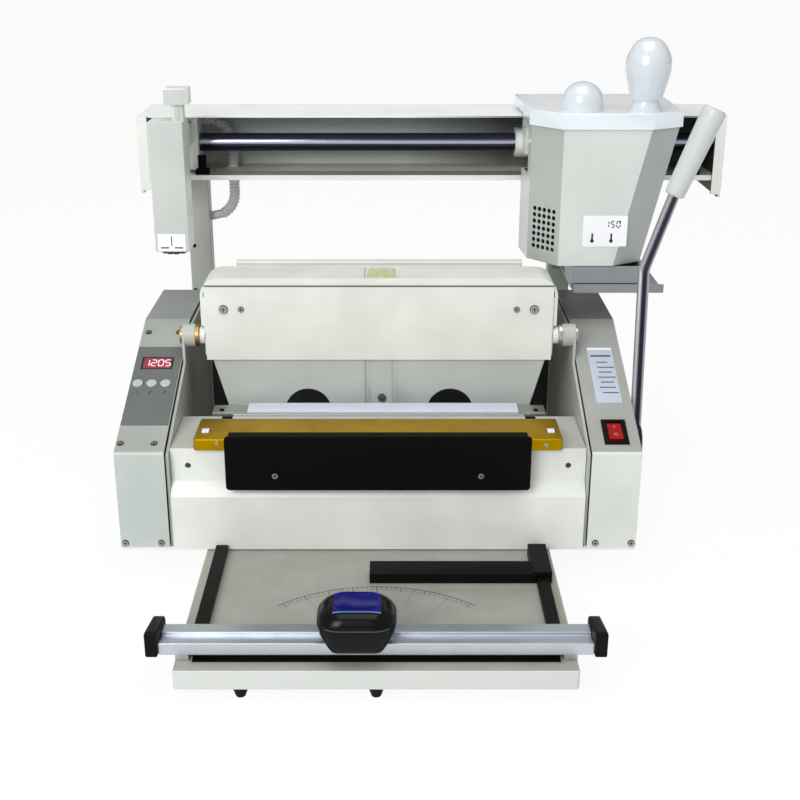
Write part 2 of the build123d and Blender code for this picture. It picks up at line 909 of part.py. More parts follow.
def make_moving_jaw():
    half = moving_jaw_half
    jaw = block(-half, half, moving_jaw_face, moving_jaw_back, moving_jaw_foot, moving_jaw_top)
    jaw = chamfer(jaw.edges().filter_by(Axis.X).group_by(Axis.Z)[-1], 1.5)
    for side in (-1, 1):
        jaw -= bar_y(rod_radius + 0.15, moving_jaw_face - 1, moving_jaw_back + 1, side * rod_x, rod_level)
    socket_foot = moving_jaw_back - screw_socket
    return jaw - bar_y(screw_radius + 0.1, socket_foot, moving_jaw_back + 1, 0, screw_level)


def make_jaw_screw():
    """The clamp's lead screw and its hand knob."""
    tip = moving_jaw_back - screw_socket + slide_gap
    rod = bar_y(screw_radius, tip, knob_front + knob_width, 0, screw_level)
    knob = bar_y(knob_radius, knob_front, knob_front + knob_width, 0, screw_level)
    knob = chamfer(knob.edges().filter_by(GeomType.CIRCLE), 1.5)
    for i in range(8):
        angle = math.radians(i * 45)
        reach = knob_radius + 3
        x = reach * math.cos(angle)
        z = screw_level + reach * math.sin(angle)
        knob -= bar_y(5.0, knob_front - 1, knob_front + knob_width + 1, x, z)
    return rod + knob


def make_columns():
    columns = []
    for side in (-1, 1):
        x0, x1 = sorted((side * column_inner, side * (column_inner + column_width)))
        y1 = column_front + column_depth
        tube = block(x0, x1, column_front, y1, base_top, beam_bottom)
        t = column_wall
        columns.append(tube - block(x0 + t, x1 - t, column_front + t, y1 - t, base_top - 1, beam_bottom + 1))
    return columns


def make_beam():
    """The channel, open to the front, with a small lip along its floor."""
    t = beam_sheet
    beam = block(beam_left, beam_right, beam_front, beam_back, beam_bottom, beam_top)
    beam -= block(beam_left - 1, beam_right + 1, beam_front - 1, beam_back - t, beam_bottom + t, beam_top - t)
    beam += block(beam_left, beam_right, beam_front, beam_front + t, beam_bottom + t, beam_bottom + beam_lip)
    return beam - bar_z(conduit_radius + 1.5, beam_bottom - 1, beam_bottom + t + 1, conduit_x, conduit_y)


def make_end_plates():
    spans = [
        (beam_left - end_sheet, beam_left, left_end_foot, -1),
        (beam_right, beam_right + end_sheet, right_end_foot, 1),
    ]
    plates = []
    for x0, x1, foot, way in spans:
        front = beam_front - end_sheet - 1
        plate = block(x0, x1, front, beam_back, foot, beam_top)
        plate = fillet(plate.edges().filter_by(Axis.X).group_by(Axis.Z)[0], 4.0)
        f0 = x0 if way < 0 else x1 - end_flange
        plate += block(f0, f0 + end_flange, front, front + end_sheet, foot + 4, beam_top)
        outer_x = x0 if way < 0 else x1
        place = facing_side(outer_x, beam_front + 8, foot + 6, way)
        plate -= screw_hole(place)
        plates.append(plate)
    return plates


def make_guide_rod():
    return bar_x(guide_rod_radius, beam_left, beam_right, guide_rod_y, guide_rod_level)


def link_outline(length, width):
    return SlotCenterToCenter(length, 2 * width)


def chain_plate(x, y0, y1):
    plane = Plane(origin=(x + chain_pitch / 2, y0, chain_level), x_dir=(1, 0, 0), z_dir=(0, -1, 0))
    outline = link_outline(chain_pitch, link_plate_half * 0.9)
    return extrude(plane * outline, amount=y0 - y1)


def make_chain():
    """Roller chain laid along the channel's floor: inner and outer links in turn."""
    links = []
    inner = link_inner
    middle = inner + link_plate
    outer = middle + 0.1 + link_plate
    for i in range(chain_links):
        x = chain_start + 2 * i * chain_pitch
        link = chain_plate(x, chain_y - middle, chain_y - inner)
        link += chain_plate(x, chain_y + inner, chain_y + middle)
        for end in (x, x + chain_pitch):
            link += bar_y(link_roller, chain_y - inner, chain_y + inner, end, chain_level)
        for end in (x, x + chain_pitch):
            link -= bar_y(link_pin + 0.1, chain_y - 4, chain_y + 4, end, chain_level)
        links.append(link)
        if i == chain_links - 1:
            break
        x += chain_pitch
        link = chain_plate(x, chain_y - outer, chain_y - middle - 0.1)
        link += chain_plate(x, chain_y + middle + 0.1, chain_y + outer)
        for end in (x, x + chain_pitch):
            link += bar_y(link_pin, chain_y - middle - 0.1, chain_y + middle + 0.1, end, chain_level)
        links.append(link)
    return links


def make_anchors():
    """Black brackets that hold the chain's two ends on the channel's floor."""
    floor = beam_bottom + beam_sheet
    inner_end = chain_start - link_plate_half
    last = chain_start + (2 * chain_links - 1) * chain_pitch + link_plate_half
    anchors = []
    for x0, x1 in ((inner_end - anchor_length, inner_end), (last, last + anchor_length)):
        foot = block(x0, x1, chain_y - anchor_half, chain_y + anchor_half, floor, floor + 9)
        foot += block(x0 + 3, x1 - 3, chain_y - 2, chain_y + 2, floor + 9, floor + anchor_height)
        anchors.append(foot)
    return anchors


def make_conduit():
    """The ribbed conduit from the left column up into the channel."""
    start = Vector(-column_inner, conduit_y, conduit_foot)
    low = Vector(conduit_x, conduit_y, conduit_foot)
    high = Vector(conduit_x, conduit_y, conduit_level)
    end = Vector(beam_left, conduit_y, conduit_level)
    path = FilletPolyline(start, low, high, end, radius=conduit_bend)
    length = path.length
    ribs = int((length - 4 * conduit_radius) // conduit_pitch)
    plain = (length - ribs * conduit_pitch) / 2
    stations = [(0.0, conduit_radius - conduit_groove)]
    for i in range(ribs):
        s = plain + i * conduit_pitch
        low_r = conduit_radius - conduit_groove
        stations += [(s, low_r), (s + 0.2 * conduit_pitch, conduit_radius)]
        stations += [(s + 0.6 * conduit_pitch, conduit_radius), (s + 0.8 * conduit_pitch, low_r)]
    stations.append((length, conduit_radius - conduit_groove))
    rings = []
    bores = []
    for s, radius in stations:
        t = s / length
        plane = Plane(origin=path @ t, x_dir=(0, 1, 0), z_dir=path % t)
        rings.append(plane * Circle(radius))
        bores.append(plane * Circle(conduit_bore))
    return loft(rings, ruled=True) - loft(bores[::4] + [bores[-1]], ruled=True)


def pot_outline(grow, slant):
    """The pot's plan, grown by a margin and with its right side drawn in."""
    g = grow
    return [
        (pot_front_left - g * 0.41, pot_front - g), (pot_front_right + g * 0.3 - slant, pot_front - g),
        (pot_right + g - slant, pot_front + 22 - g * 0.6), (pot_right + 3 + g - slant, pot_rear),
        (pot_left - g, pot_rear), (pot_corner - g, pot_front + pot_facet + 1 - g * 0.41),
    ]


def pot_face(grow, slant, level):
    return Plane.XY.offset(level) * make_face(Polyline(*pot_outline(grow, slant), close=True))


def make_pot_casing():
    """The sheet casing, wide above and drawn in to the right below."""
    slant_rate = pot_slant / (pot_top - pot_foot)
    casing = loft([pot_face(0, pot_slant, pot_foot), pot_face(0, 0, pot_top)], ruled=True)
    w = -pot_wall
    low, high = pot_foot - 2, pot_top + 2
    lower = pot_face(w, pot_slant + 2 * slant_rate, low)
    hollow = loft([lower, pot_face(w, -2 * slant_rate, high)], ruled=True)
    hollow -= block(pot_left - 5, pot_right + 9, pot_rear - pot_wall, pot_rear + 5, low - 1, high + 1)
    casing -= hollow
    foot, top = pot_notch_foot, pot_notch_top
    casing -= block(pot_left - 9, pot_corner + 9, pot_notch_front, pot_rear + 5, foot, top)
    casing -= bar_y(sprocket_shaft + 1, pot_rear - 5, pot_rear + 5, roller_x, sprocket_level)
    floor = extrude(pot_face(-pot_wall / 2, pot_slant, pot_foot), pot_floor_sheet)
    casing += floor & block(pot_left, pot_right, pot_floor_front, pot_rear, low, pot_foot + pot_floor_sheet)
    middle_x = (pot_front_left + pot_corner) / 2
    middle_y = pot_front + (pot_facet + 1) / 2
    facet = Location((middle_x, middle_y, vent_middle_level), (0, 0, -45))
    vents = []
    for i in range(vent_columns):
        for j in range(vent_rows):
            x = (i - (vent_columns - 1) / 2) * vent_pitch
            z = (j - (vent_rows - 1) / 2) * vent_pitch
            vents.append(facet * Pos(x, 0, z) * Rot(90, 0, 0) * Cylinder(vent_radius, 12))
    return casing - vents


def make_glue_tank():
    """The heated tank inside the pot, with the roller's slot in its floor."""
    x0, x1 = roller_x - tank_half, roller_x + tank_half
    t = tank_wall
    tank = block(x0, x1, tank_front, tank_back, tank_foot, tank_top)
    tank -= block(x0 + t, x1 - t, tank_front + t, tank_back - t, tank_foot + t, tank_top + 1)
    x0, x1 = roller_x - 21.5, roller_x + 21.5
    tank -= block(x0, x1, tank_front + t, tank_back - t, tank_foot - 1, tank_foot + t + 1)
    tank -= bar_y(roller_shaft + fit_gap, tank_front - 1, tank_back + 1, roller_x, roller_level)
    inner = pot_rear - pot_wall
    low, high = tank_top - 22, tank_top - 18
    hanger = block(x0 - 9, x1 + 9, inner - 10, inner, low, high)
    hanger += block(roller_x - 30, roller_x - 18, tank_back, inner, low, high)
    hanger += block(roller_x + 18, roller_x + 30, tank_back, inner, low, high)
    return tank + hanger


def make_glue_roller():
    """The glue roller on its shaft, with its belt pulley behind."""
    roller = bar_y(roller_radius, roller_front, roller_back, roller_x, roller_level)
    roller = chamfer(roller.edges().filter_by(GeomType.CIRCLE), 1.0)
    roller += bar_y(roller_shaft, tank_front - 3, pulley_back + 4, roller_x, roller_level)
    return roller + bar_y(pulley_radius, pulley_front, pulley_back, roller_x, roller_level)


def make_belt():
    """The belt from the sprocket shaft down to the glue roller."""
    span = sprocket_level - roller_level
    middle = (sprocket_level + roller_level) / 2
    y0, y1 = pulley_front + 1, pulley_back - 1
    plane = Plane(origin=(roller_x, y0, middle), x_dir=(0, 0, 1), z_dir=(0, -1, 0))
    inner = pulley_radius + 0.15
    outer = inner + 2.0
    ring = SlotCenterToCenter(span, 2 * outer) - SlotCenterToCenter(span, 2 * inner)
    return extrude(plane * ring, amount=y0 - y1)


def make_sprocket():
    """The toothed wheel that rolls along the chain, its shaft and its pulley."""
    root = sprocket_pitch_radius - link_roller - 0.15
    y0 = chain_y - sprocket_width / 2
    y1 = chain_y + sprocket_width / 2
    wheel = bar_y(root, y0, y1, roller_x, sprocket_level)
    tip = sprocket_pitch_radius + 0.9
    pitch = sprocket_pitch_radius
    tooth_points = [(-1.15, root - 0.6), (1.15, root - 0.6), (0.95, pitch)]
    tooth_points += [(0.45, tip), (-0.45, tip), (-0.95, pitch)]
    tooth = prism_y(tooth_points, y0, y1)
    phase = chain_phase()
    for i in range(sprocket_teeth):
        angle = 180 + phase + i * 360 / sprocket_teeth
        wheel += Pos(roller_x, 0, sprocket_level) * Rot(0, angle, 0) * tooth
    wheel += bar_y(7.0, y1, y1 + 4, roller_x, sprocket_level)
    wheel += bar_y(sprocket_shaft, pulley_front - 2, y1 + 4, roller_x, sprocket_level)
    return wheel + bar_y(pulley_radius, pulley_front, pulley_back, roller_x, sprocket_level)


def chain_phase():
    """The turn that puts a tooth midway between two chain rollers."""
    offset = (roller_x - chain_start) / chain_pitch
    away = offset - math.floor(offset) - 0.5
    return math.degrees(away * chain_pitch / sprocket_pitch_radius)


def make_pot_carriage():
    """The bush on the rod, its arm, the shaft's bearing and the hinge plate."""
    x0, x1 = pot_bush_left, pot_bush_right
    carriage = bar_x(bush_outer, x0, x1, guide_rod_y, guide_rod_level)
    carriage += block(x0 + 8, x1 - 10, pot_rear, guide_rod_y - 8, arm_foot, arm_top)
    y0, y1 = beam_front + 2.5, beam_front + 9
    carriage += block(roller_x - 8, roller_x + 8, y0, y1, sprocket_level - 9, arm_foot)
    carriage -= bar_x(guide_rod_radius + fit_gap, x0 - 1, x1 + 1, guide_rod_y, guide_rod_level)
    carriage -= bar_y(sprocket_shaft + fit_gap, pot_rear, beam_front + 12, roller_x, sprocket_level)
    plate_left, plate_right = pot_left + 8, pot_right - 8
    carriage += block(plate_left, plate_right, pot_rear, pot_rear + 4, arm_foot, lid_underside - 0.3)
    carriage += block(plate_left, plate_right, pot_rear, lid_rear - 1, beam_top + 1.5, lid_underside - 0.3)
    for knuckle, pin_end in carriage_knuckles():
        carriage += bar_x(hinge_knuckle, *knuckle, hinge_y, hinge_level)
        web_foot = beam_top + 1.5
        carriage += block(knuckle[0], knuckle[1], lid_rear - 2, hinge_y, web_foot, hinge_level - 1)
        carriage += bar_x(hinge_pin, *pin_end, hinge_y, hinge_level)
    return carriage


def carriage_knuckles():
    """Where the carriage's hinge knuckles lie, and how far their pins reach."""
    left = pot_left + knuckle_inset
    right = pot_right - knuckle_inset
    length = knuckle_length
    return [
        ((left, left + length), (left, left + 2 * length)),
        ((right - length, right), (right - 2 * length, right)),
    ]


def make_lid():
    """The pot's lid: a shallow cap that reaches back over the beam."""
    g = lid_over
    points = pot_outline(g, 0)
    points[3] = (points[3][0], lid_rear)
    points[4] = (points[4][0], lid_rear)
    lid = prism_z(points, pot_top + slide_gap, lid_top)
    lid -= block(pot_left - 9, pot_right + 12, pot_rear - 1, lid_rear + 1, pot_top - 1, lid_underside)
    inner = [(x, y) for x, y in pot_outline(-1.0, 0)]
    inner[3] = (inner[3][0], pot_rear - 1)
    inner[4] = (inner[4][0], pot_rear - 1)
    lid -= prism_z(inner, pot_top - 1, lid_top - lid_plate)
    top_rim = lid.faces().sort_by(Axis.Z)[-1].edges()
    lid = fillet(top_rim, 1.6)
    for (k0, k1), (p0, p1) in carriage_knuckles():
        if p0 < k0:
            e0, e1 = p0, k0 - 0.4
        else:
            e0, e1 = k1 + 0.4, p1
        lid -= block(k0 - 1, k1 + 1, lid_rear - 4, lid_rear + 1, lid_underside - 1, lid_top + 1)
        lid += bar_x(hinge_knuckle, e0, e1, hinge_y, hinge_level)
        lid += block(e0, e1, lid_rear - 2, hinge_y, lid_underside, hinge_level + 2)
        lid -= bar_x(hinge_pin + 0.1, p0 - 1, p1 + 1, hinge_y, hinge_level)
    return lid


def make_knobs():
    """The round dome and the tall egg that stand on the lid."""
    dome_middle = lid_top + dome_collar
    dome = Pos(dome_x, dome_y, dome_middle) * Sphere(dome_radius)
    reach = 2 * dome_radius
    x0, x1 = dome_x - reach, dome_x + reach
    dome -= block(x0, x1, dome_y - reach, dome_y + reach, lid_top - reach, dome_middle)
    dome += bar_z(dome_radius, lid_top, dome_middle, dome_x, dome_y)
    rise = egg_wide - egg_foot
    fall = egg_top - egg_wide
    line = [
        Line((0, lid_top), (egg_plinth, lid_top)),
        Line((egg_plinth, lid_top), (egg_neck, egg_foot)),
        Spline(
            (egg_neck, egg_foot), (egg_radius * 0.87, egg_foot + rise * 0.5), (egg_radius, egg_wide),
            (egg_radius * 0.72, egg_wide + fall * 0.68), (0, egg_top), tangents=((0.9, 1.0), (-1.0, 0.0)),
        ),
        Line((0, egg_top), (0, lid_top)),
    ]
    egg = revolve(Plane.XZ * make_face(line), axis=Axis.Z)
    return [dome, Pos(egg_x, egg_y, 0) * egg]


def make_drip_tray():
    """The tray under the parked pot, on a shelf held by the right column."""
    t = casing_sheet
    tray = block(tray_left, tray_right, tray_front, tray_back, tray_foot, tray_top)
    tray -= block(tray_left + t, tray_right - t, tray_front + t, tray_back - t, tray_foot + t, tray_top + 1)
    shelf_front = tray_front - 3
    shelf = block(shelf_left, shelf_right, shelf_front, column_front, shelf_level, shelf_level + shelf_sheet)
    shelf += block(shelf_left, shelf_right, shelf_front, shelf_front + t, shelf_level, tray_foot - 0.5)
    top = shelf_level + shelf_sheet
    support = block(tray_left, tray_right, tray_front + 6, tray_back - 6, top, tray_foot)
    support -= block(tray_left + 10, tray_right - 10, tray_front, tray_back, shelf_level, tray_foot)
    flange_left, flange_right = column_inner + 5, column_inner + column_width
    low, high = shelf_level - 14, shelf_level + 18
    shelf += block(flange_left, flange_right, column_front - t, column_front, low, high)
    return tray + support + shelf


def make_mill_housing():
    """The milling unit's slim casing, open below, and the block it is pushed by."""
    y1 = mill_front + mill_depth
    t = casing_sheet
    case = block(mill_left, mill_right, mill_front, y1, mill_foot, mill_top)
    case = fillet(case.edges().filter_by(Axis.Z), mill_corner)
    case -= block(mill_left + t, mill_right - t, mill_front + t, y1 - t, mill_foot - 1, mill_top - t)
    slot_half = mill_rail_neck + slide_gap
    slot_top = arm_top + mill_drop + slide_gap
    slot_foot = mill_arm_foot - slide_gap
    x0, x1 = mill_middle_x - slot_half, mill_middle_x + slot_half
    case -= block(x0, x1, y1 - t - 1, y1 + 1, slot_foot, slot_top)
    x = mill_middle_x + mill_grip_shift
    half = mill_grip_side / 2
    front = mill_middle_y - half
    grip = block(x - half, x + half, front, front + mill_grip_side, mill_grip_foot, mill_grip_top)
    corner = grip.edges().filter_by(Axis.Z).group_by(Axis.Y)[0].sort_by(Axis.X)[-1]
    grip = chamfer(corner, mill_grip_side / 4)
    grip = fillet(grip.faces().sort_by(Axis.Z)[-1].edges(), 2.0)
    grip += bar_z(mill_neck_radius, mill_top, mill_grip_foot + 1, x, mill_middle_y)
    return case + grip


def make_mill_motor():
    """The motor, hung from two straps inside the casing."""
    motor = bar_z(motor_radius, motor_foot, motor_top, mill_middle_x, mill_middle_y)
    t = casing_sheet
    for z in (motor_foot + 18, motor_top - 24):
        motor += block(mill_left + t, mill_right - t, mill_middle_y - 8, mill_middle_y + 8, z, z + 6)
    bore = spindle_radius + fit_gap
    return motor - bar_z(bore, motor_foot - 1, motor_foot + 30, mill_middle_x, mill_middle_y)


def make_cutter():
    """The toothed cutter on its spindle."""
    disc = bar_z(cutter_radius, cutter_foot, cutter_foot + 5, mill_middle_x, mill_middle_y)
    for i in range(12):
        angle = math.radians(i * 30)
        x = mill_middle_x + cutter_radius * math.cos(angle)
        y = mill_middle_y + cutter_radius * math.sin(angle)
        disc -= Location((x, y, cutter_foot + 2.5), (0, 0, i * 30 + 20)) * Box(5, 2.6, 7)
    return disc + bar_z(spindle_radius, cutter_foot + 2, motor_foot + 29, mill_middle_x, mill_middle_y)


def make_mill_carriage():
    """The mill's bearing block on the rod, its arm and the T rail its casing slides down on."""
    y1 = mill_front + mill_depth
    t = casing_sheet
    middle = mill_middle_x
    foot, top = mill_block_foot, mill_block_top
    carriage = block(mill_bush_left, mill_bush_right, mill_block_front, mill_block_back, foot, top)
    carriage += block(mill_left + 7, mill_right - 7, y1 + slide_gap, mill_block_front, mill_arm_foot, arm_top)
    inner = y1 - t - slide_gap
    rail_front_face = inner - mill_rail_sheet
    neck = (mill_rail_neck, y1 + slide_gap, inner)
    for half, back, front in (neck, (mill_rail_half, inner, rail_front_face)):
        carriage += block(middle - half, middle + half, front, back, mill_arm_foot, arm_top)
    hole = guide_rod_radius + fit_gap
    bore = bar_x(hole, mill_bush_left - 1, mill_bush_right + 1, guide_rod_y, guide_rod_level)
    return carriage - bore


def make_control_panel():
    width = panel_right - panel_left
    length = panel_high - panel_low
    middle_x = (panel_left + panel_right) / 2
    middle_s = (panel_low + panel_high) / 2
    panel = on_slope(Box(width, length, panel_sheet), middle_x, middle_s, panel_sheet / 2)
    panel -= on_slope(Box(display_width + 0.4, display_height + 0.4, 6), display_x, display_s, 0)
    for i in range(3):
        x = button_middle + (i - 1) * button_pitch
        panel -= on_slope(Cylinder(button_radius + slide_gap, 6), x, button_s, 0)
    return panel


def make_display():
    """The LED display and the switches on their board, hung on four posts."""
    top = panel_sheet - 0.2
    deep = top + board_drop
    display = on_slope(Box(display_width, display_height, deep), display_x, display_s, top - deep / 2)
    middle_s = (display_s + button_s) / 2 + 4
    board = Box(board_width, board_length, board_sheet)
    unit = display + on_slope(board, display_x, middle_s, -board_drop - board_sheet / 2)
    for i in range(3):
        x = button_middle + (i - 1) * button_pitch
        unit += on_slope(Box(6, 6, 2.2), x, button_s, -board_drop + 1.1)
    post = board_drop - casing_sheet
    for sx in (-1, 1):
        for ss in (-1, 1):
            x = display_x + sx * 18
            s = middle_s + ss * (board_length / 2 - 5)
            unit += on_slope(Cylinder(3, post), x, s, -casing_sheet - post / 2)
    return unit


def make_button(index):
    x = button_middle + (index - 1) * button_pitch
    top = panel_sheet + button_rise
    foot = -board_drop + 2.2 + button_travel + 0.3
    stem = Pos(0, 0, foot / 2) * Cylinder(2.2, -foot)
    cap = Pos(0, 0, top / 2) * Cylinder(button_radius, top)
    cap = fillet(cap.edges().filter_by(GeomType.CIRCLE).sort_by(Axis.Z)[-1], 0.8)
    return on_slope(cap + stem, x, button_s, 0)


def make_switch_bezel():
    outer = Box(switch_width, switch_height, 2.0)
    bezel = Pos(0, 0, 1.0) * outer
    bezel = chamfer(bezel.faces().sort_by(Axis.Z)[-1].edges(), 0.8)
    body = Pos(0, 0, -8) * Box(switch_width - 4, switch_height - 4, 16)
    well = Pos(0, 0, -2) * Box(rocker_width + 0.8, rocker_height + 0.8, 14)
    return on_slope(bezel + body - well, switch_x, switch_s, 0)


def make_rocker():
    """The rocker, tilted to its off side."""
    half = rocker_height / 2
    outline = [(-half + 0.9, 3.6), (0, 2.6), (half - 0.9, 1.0), (half - 1.6, -3.0), (-half + 1.6, -3.0)]
    face = make_face(Polyline(*outline, close=True))
    rocker = extrude(Plane.YZ.offset(-rocker_width / 2) * face, amount=rocker_width)
    return on_slope(rocker, switch_x, switch_s, 0)


def make_inlet():
    flange = rounded_sheet(
        inlet_x - inlet_width / 2, inlet_x + inlet_width / 2,
        inlet_level - inlet_height / 2, inlet_level + inlet_height / 2, 4, body_depth, body_depth + 3,
    )
    body = block(inlet_x - 14, inlet_x + 14, body_depth - 26, body_depth, inlet_level - 10, inlet_level + 10)
    low, high = inlet_level - 8, inlet_level + 8
    recess = block(inlet_x - 12, inlet_x + 12, body_depth - 18, body_depth + 4, low, high)
    inlet = flange + body - recess
    for x in (-7, 0, 7):
        z = inlet_level + (3 if x == 0 else -2)
        inlet += block(inlet_x + x - 1, inlet_x + x + 1, body_depth - 18.5, body_depth - 5, z - 2.5, z + 2.5)
    return inlet


def make_casing_screws():
    """Every visible fixing screw of the casing, the guide plate and the end plates."""
    screws = []
    for side in (-1, 1):
        for x in housing_foot_screws:
            screws.append(screw(facing_front(side * x, 0, housing_foot_level)))
        screws.append(screw(facing_front(side * guide_screw_x, guide_front, guide_screw_level)))
    for x, s in slope_screw_left:
        screws.append(screw(on_slope_place(x, s)))
    for x, way, level in end_plate_screws:
        screws.append(screw(facing_side(x, beam_front + 8, level, way)))
    return screws


def make_feet():
    feet = []
    for side in (-1, 1):
        for y in (body_foot_front, body_foot_back):
            foot = bar_z(body_foot_radius, 0, base_lift, side * body_foot_x, y)
            feet.append(chamfer(foot.edges().filter_by(GeomType.CIRCLE).sort_by(Axis.Z)[0], 2.0))
    places = [(x, foot_back_y) for x in (-foot_x, 0, foot_x)]
    places += [(-foot_x, foot_front_y), (0, foot_front_y), (foot_x, foot_front_y + foot_set_back)]
    for x, y in places:
        feet.append(Pos(x, y, board_foot / 2) * Cone(foot_tip_radius, foot_radius, board_foot))
    return feet


def make_board():
    board = block(-board_half, board_half, board_front, board_back, board_foot, board_top)
    board = fillet(board.edges().filter_by(Axis.Z), 3.0)
    board = fillet(board.faces().sort_by(Axis.Z)[-1].edges(), 1.2)
    for x in (-board_half + 30, board_half - 30):
        for y in (board_back - 90, board_back - 20):
            board += bar_z(10.0, board_top, base_lift, x, y)
    return board


def make_board_strips():
    """The two side guides and the cutting strip let into the board."""
    strips = []
    for x in (side_guide_left, side_guide_right):
        top = board_top + side_guide_height
        strips.append(block(x, x + side_guide_width, rail_back + 1, side_guide_back, board_top, top))
    top = board_top + strip_height
    strips.append(block(-strip_half, strip_half, strip_front, strip_back, board_top, top))
    return strips


def make_rail():
    """The extruded guide rail, on a block at each side of the board."""
    profile = [
        (rail_front, rail_foot), (rail_front, rail_top), (rail_groove_front, rail_top),
        (rail_groove_front, rail_groove_foot), (rail_groove_back, rail_groove_foot),
        (rail_groove_back, rail_top), (rail_back, rail_top), (rail_back, rail_foot),
    ]
    rail = prism_x(profile, -rail_half, rail_half)
    for side in (-1, 1):
        x0, x1 = sorted((side * (strip_half + 3), side * board_half))
        rail += block(x0, x1, rail_front + 2, rail_back - 2, board_top, rail_foot)
    return rail


def make_rail_caps():
    profile = [
        (rail_front - 5, rail_foot), (rail_front - 5, rail_top + rail_cap_rise),
        (rail_front, rail_top + rail_cap_rise),
        (rail_back + 8, rail_top + 4), (rail_back + 10, rail_top), (rail_back + 10, rail_foot),
    ]
    caps = []
    for side in (-1, 1):
        x0, x1 = sorted((side * rail_half, side * (rail_half + rail_cap)))
        caps.append(prism_x(profile, x0, x1))
    return caps


def make_head_base():
    foot = rail_top + slide_gap
    x0, x1 = head_x - head_half, head_x + head_half
    base = block(x0, x1, rail_front + 0.5, rail_back - 2, foot, foot + head_base_height)
    base += block(
        x0, x1, rail_groove_front + slide_gap, rail_groove_back - slide_gap, rail_groove_foot + slide_gap, foot,
    )
    for side in (-1, 1):
        base += bar_z(post_radius, foot, post_top, head_x + side * post_x, post_y)
    return base


def make_head_cap():
    """The palm grip: wide above, narrowing to a skirt in front of the rail that guards the blade."""
    rise = cap_top - cap_wide_level
    drop = cap_wide_level - cap_skirt_foot
    front = cap_skirt_front
    sections = [
        (cap_skirt_foot, 0.66, 0.2, front + 3, cap_back - 15),
        (cap_skirt_foot + 0.33 * drop, 0.82, 0.26, front + 1, cap_back - 9),
        (cap_skirt_foot + 0.68 * drop, 0.95, 0.32, front, cap_back - 4),
        (cap_wide_level, 1.0, 0.38, front, cap_back),
        (cap_wide_level + 0.6 * rise, 0.91, 0.4, front + 3, cap_back - 1),
        (cap_top, 0.56, 0.42, front + 16, cap_back - 8),
    ]
    rings = []
    for level, share, corner, front, back in sections:
        width = 2 * cap_wide * share
        depth = back - front
        ring = RectangleRounded(width, depth, corner * min(width, depth))
        rings.append(Pos(head_x, (front + back) / 2, level) * ring)
    cap = loft(rings)
    skirt_back = rail_front - 2 * slide_gap
    cap -= block(head_x - 60, head_x + 60, skirt_back, cap_back + 20, cap_skirt_foot - 5, cap_foot)
    for side in (-1, 1):
        socket_top = post_top + head_press + slide_gap
        cap -= bar_z(post_radius + fit_gap, cap_foot - 1, socket_top, head_x + side * post_x, post_y)
    z = blade_centre()
    reach = blade_radius + 2
    slot_low = blade_y - blade_gap
    cap -= block(head_x - reach, head_x + reach, slot_low, skirt_back + 1, cap_skirt_foot - 1, z + reach)
    return cap + bar_y(axle_radius, slot_low - 1, blade_y + blade_gap, head_x, z)


def blade_centre():
    return board_top + strip_height + slide_gap + head_press + blade_radius


def make_blade():
    """The round trimming blade."""
    z = blade_centre()
    blade = bar_y(blade_radius, blade_y - blade_sheet / 2, blade_y + blade_sheet / 2, head_x, z)
    blade = chamfer(blade.edges().filter_by(GeomType.CIRCLE), 0.4)
    return blade - bar_y(axle_radius + fit_gap, blade_y - 2, blade_y + 2, head_x, z)


def make_gauge():
    """The paper stop: a bar across the board and its runner on the right guide."""
    foot = board_top + slide_gap
    top = foot + gauge_height
    gauge = block(gauge_left, gauge_right, gauge_front, gauge_front + gauge_depth, foot, top)
    x0 = side_guide_right - 3.5
    x1 = side_guide_right + side_guide_width + 3.5
    guide_top_level = board_top + side_guide_height
    runner = block(x0, x1, gauge_front, runner_back, foot, top + 2)
    runner -= block(
        side_guide_right - slide_gap, side_guide_right + side_guide_width + slide_gap,
        gauge_front - 1, runner_back + 1, foot - 1, guide_top_level + slide_gap,
    )
    return gauge + runner


def as_list(shape):
    return list(shape) if isinstance(shape, (list, tuple)) else [shape]


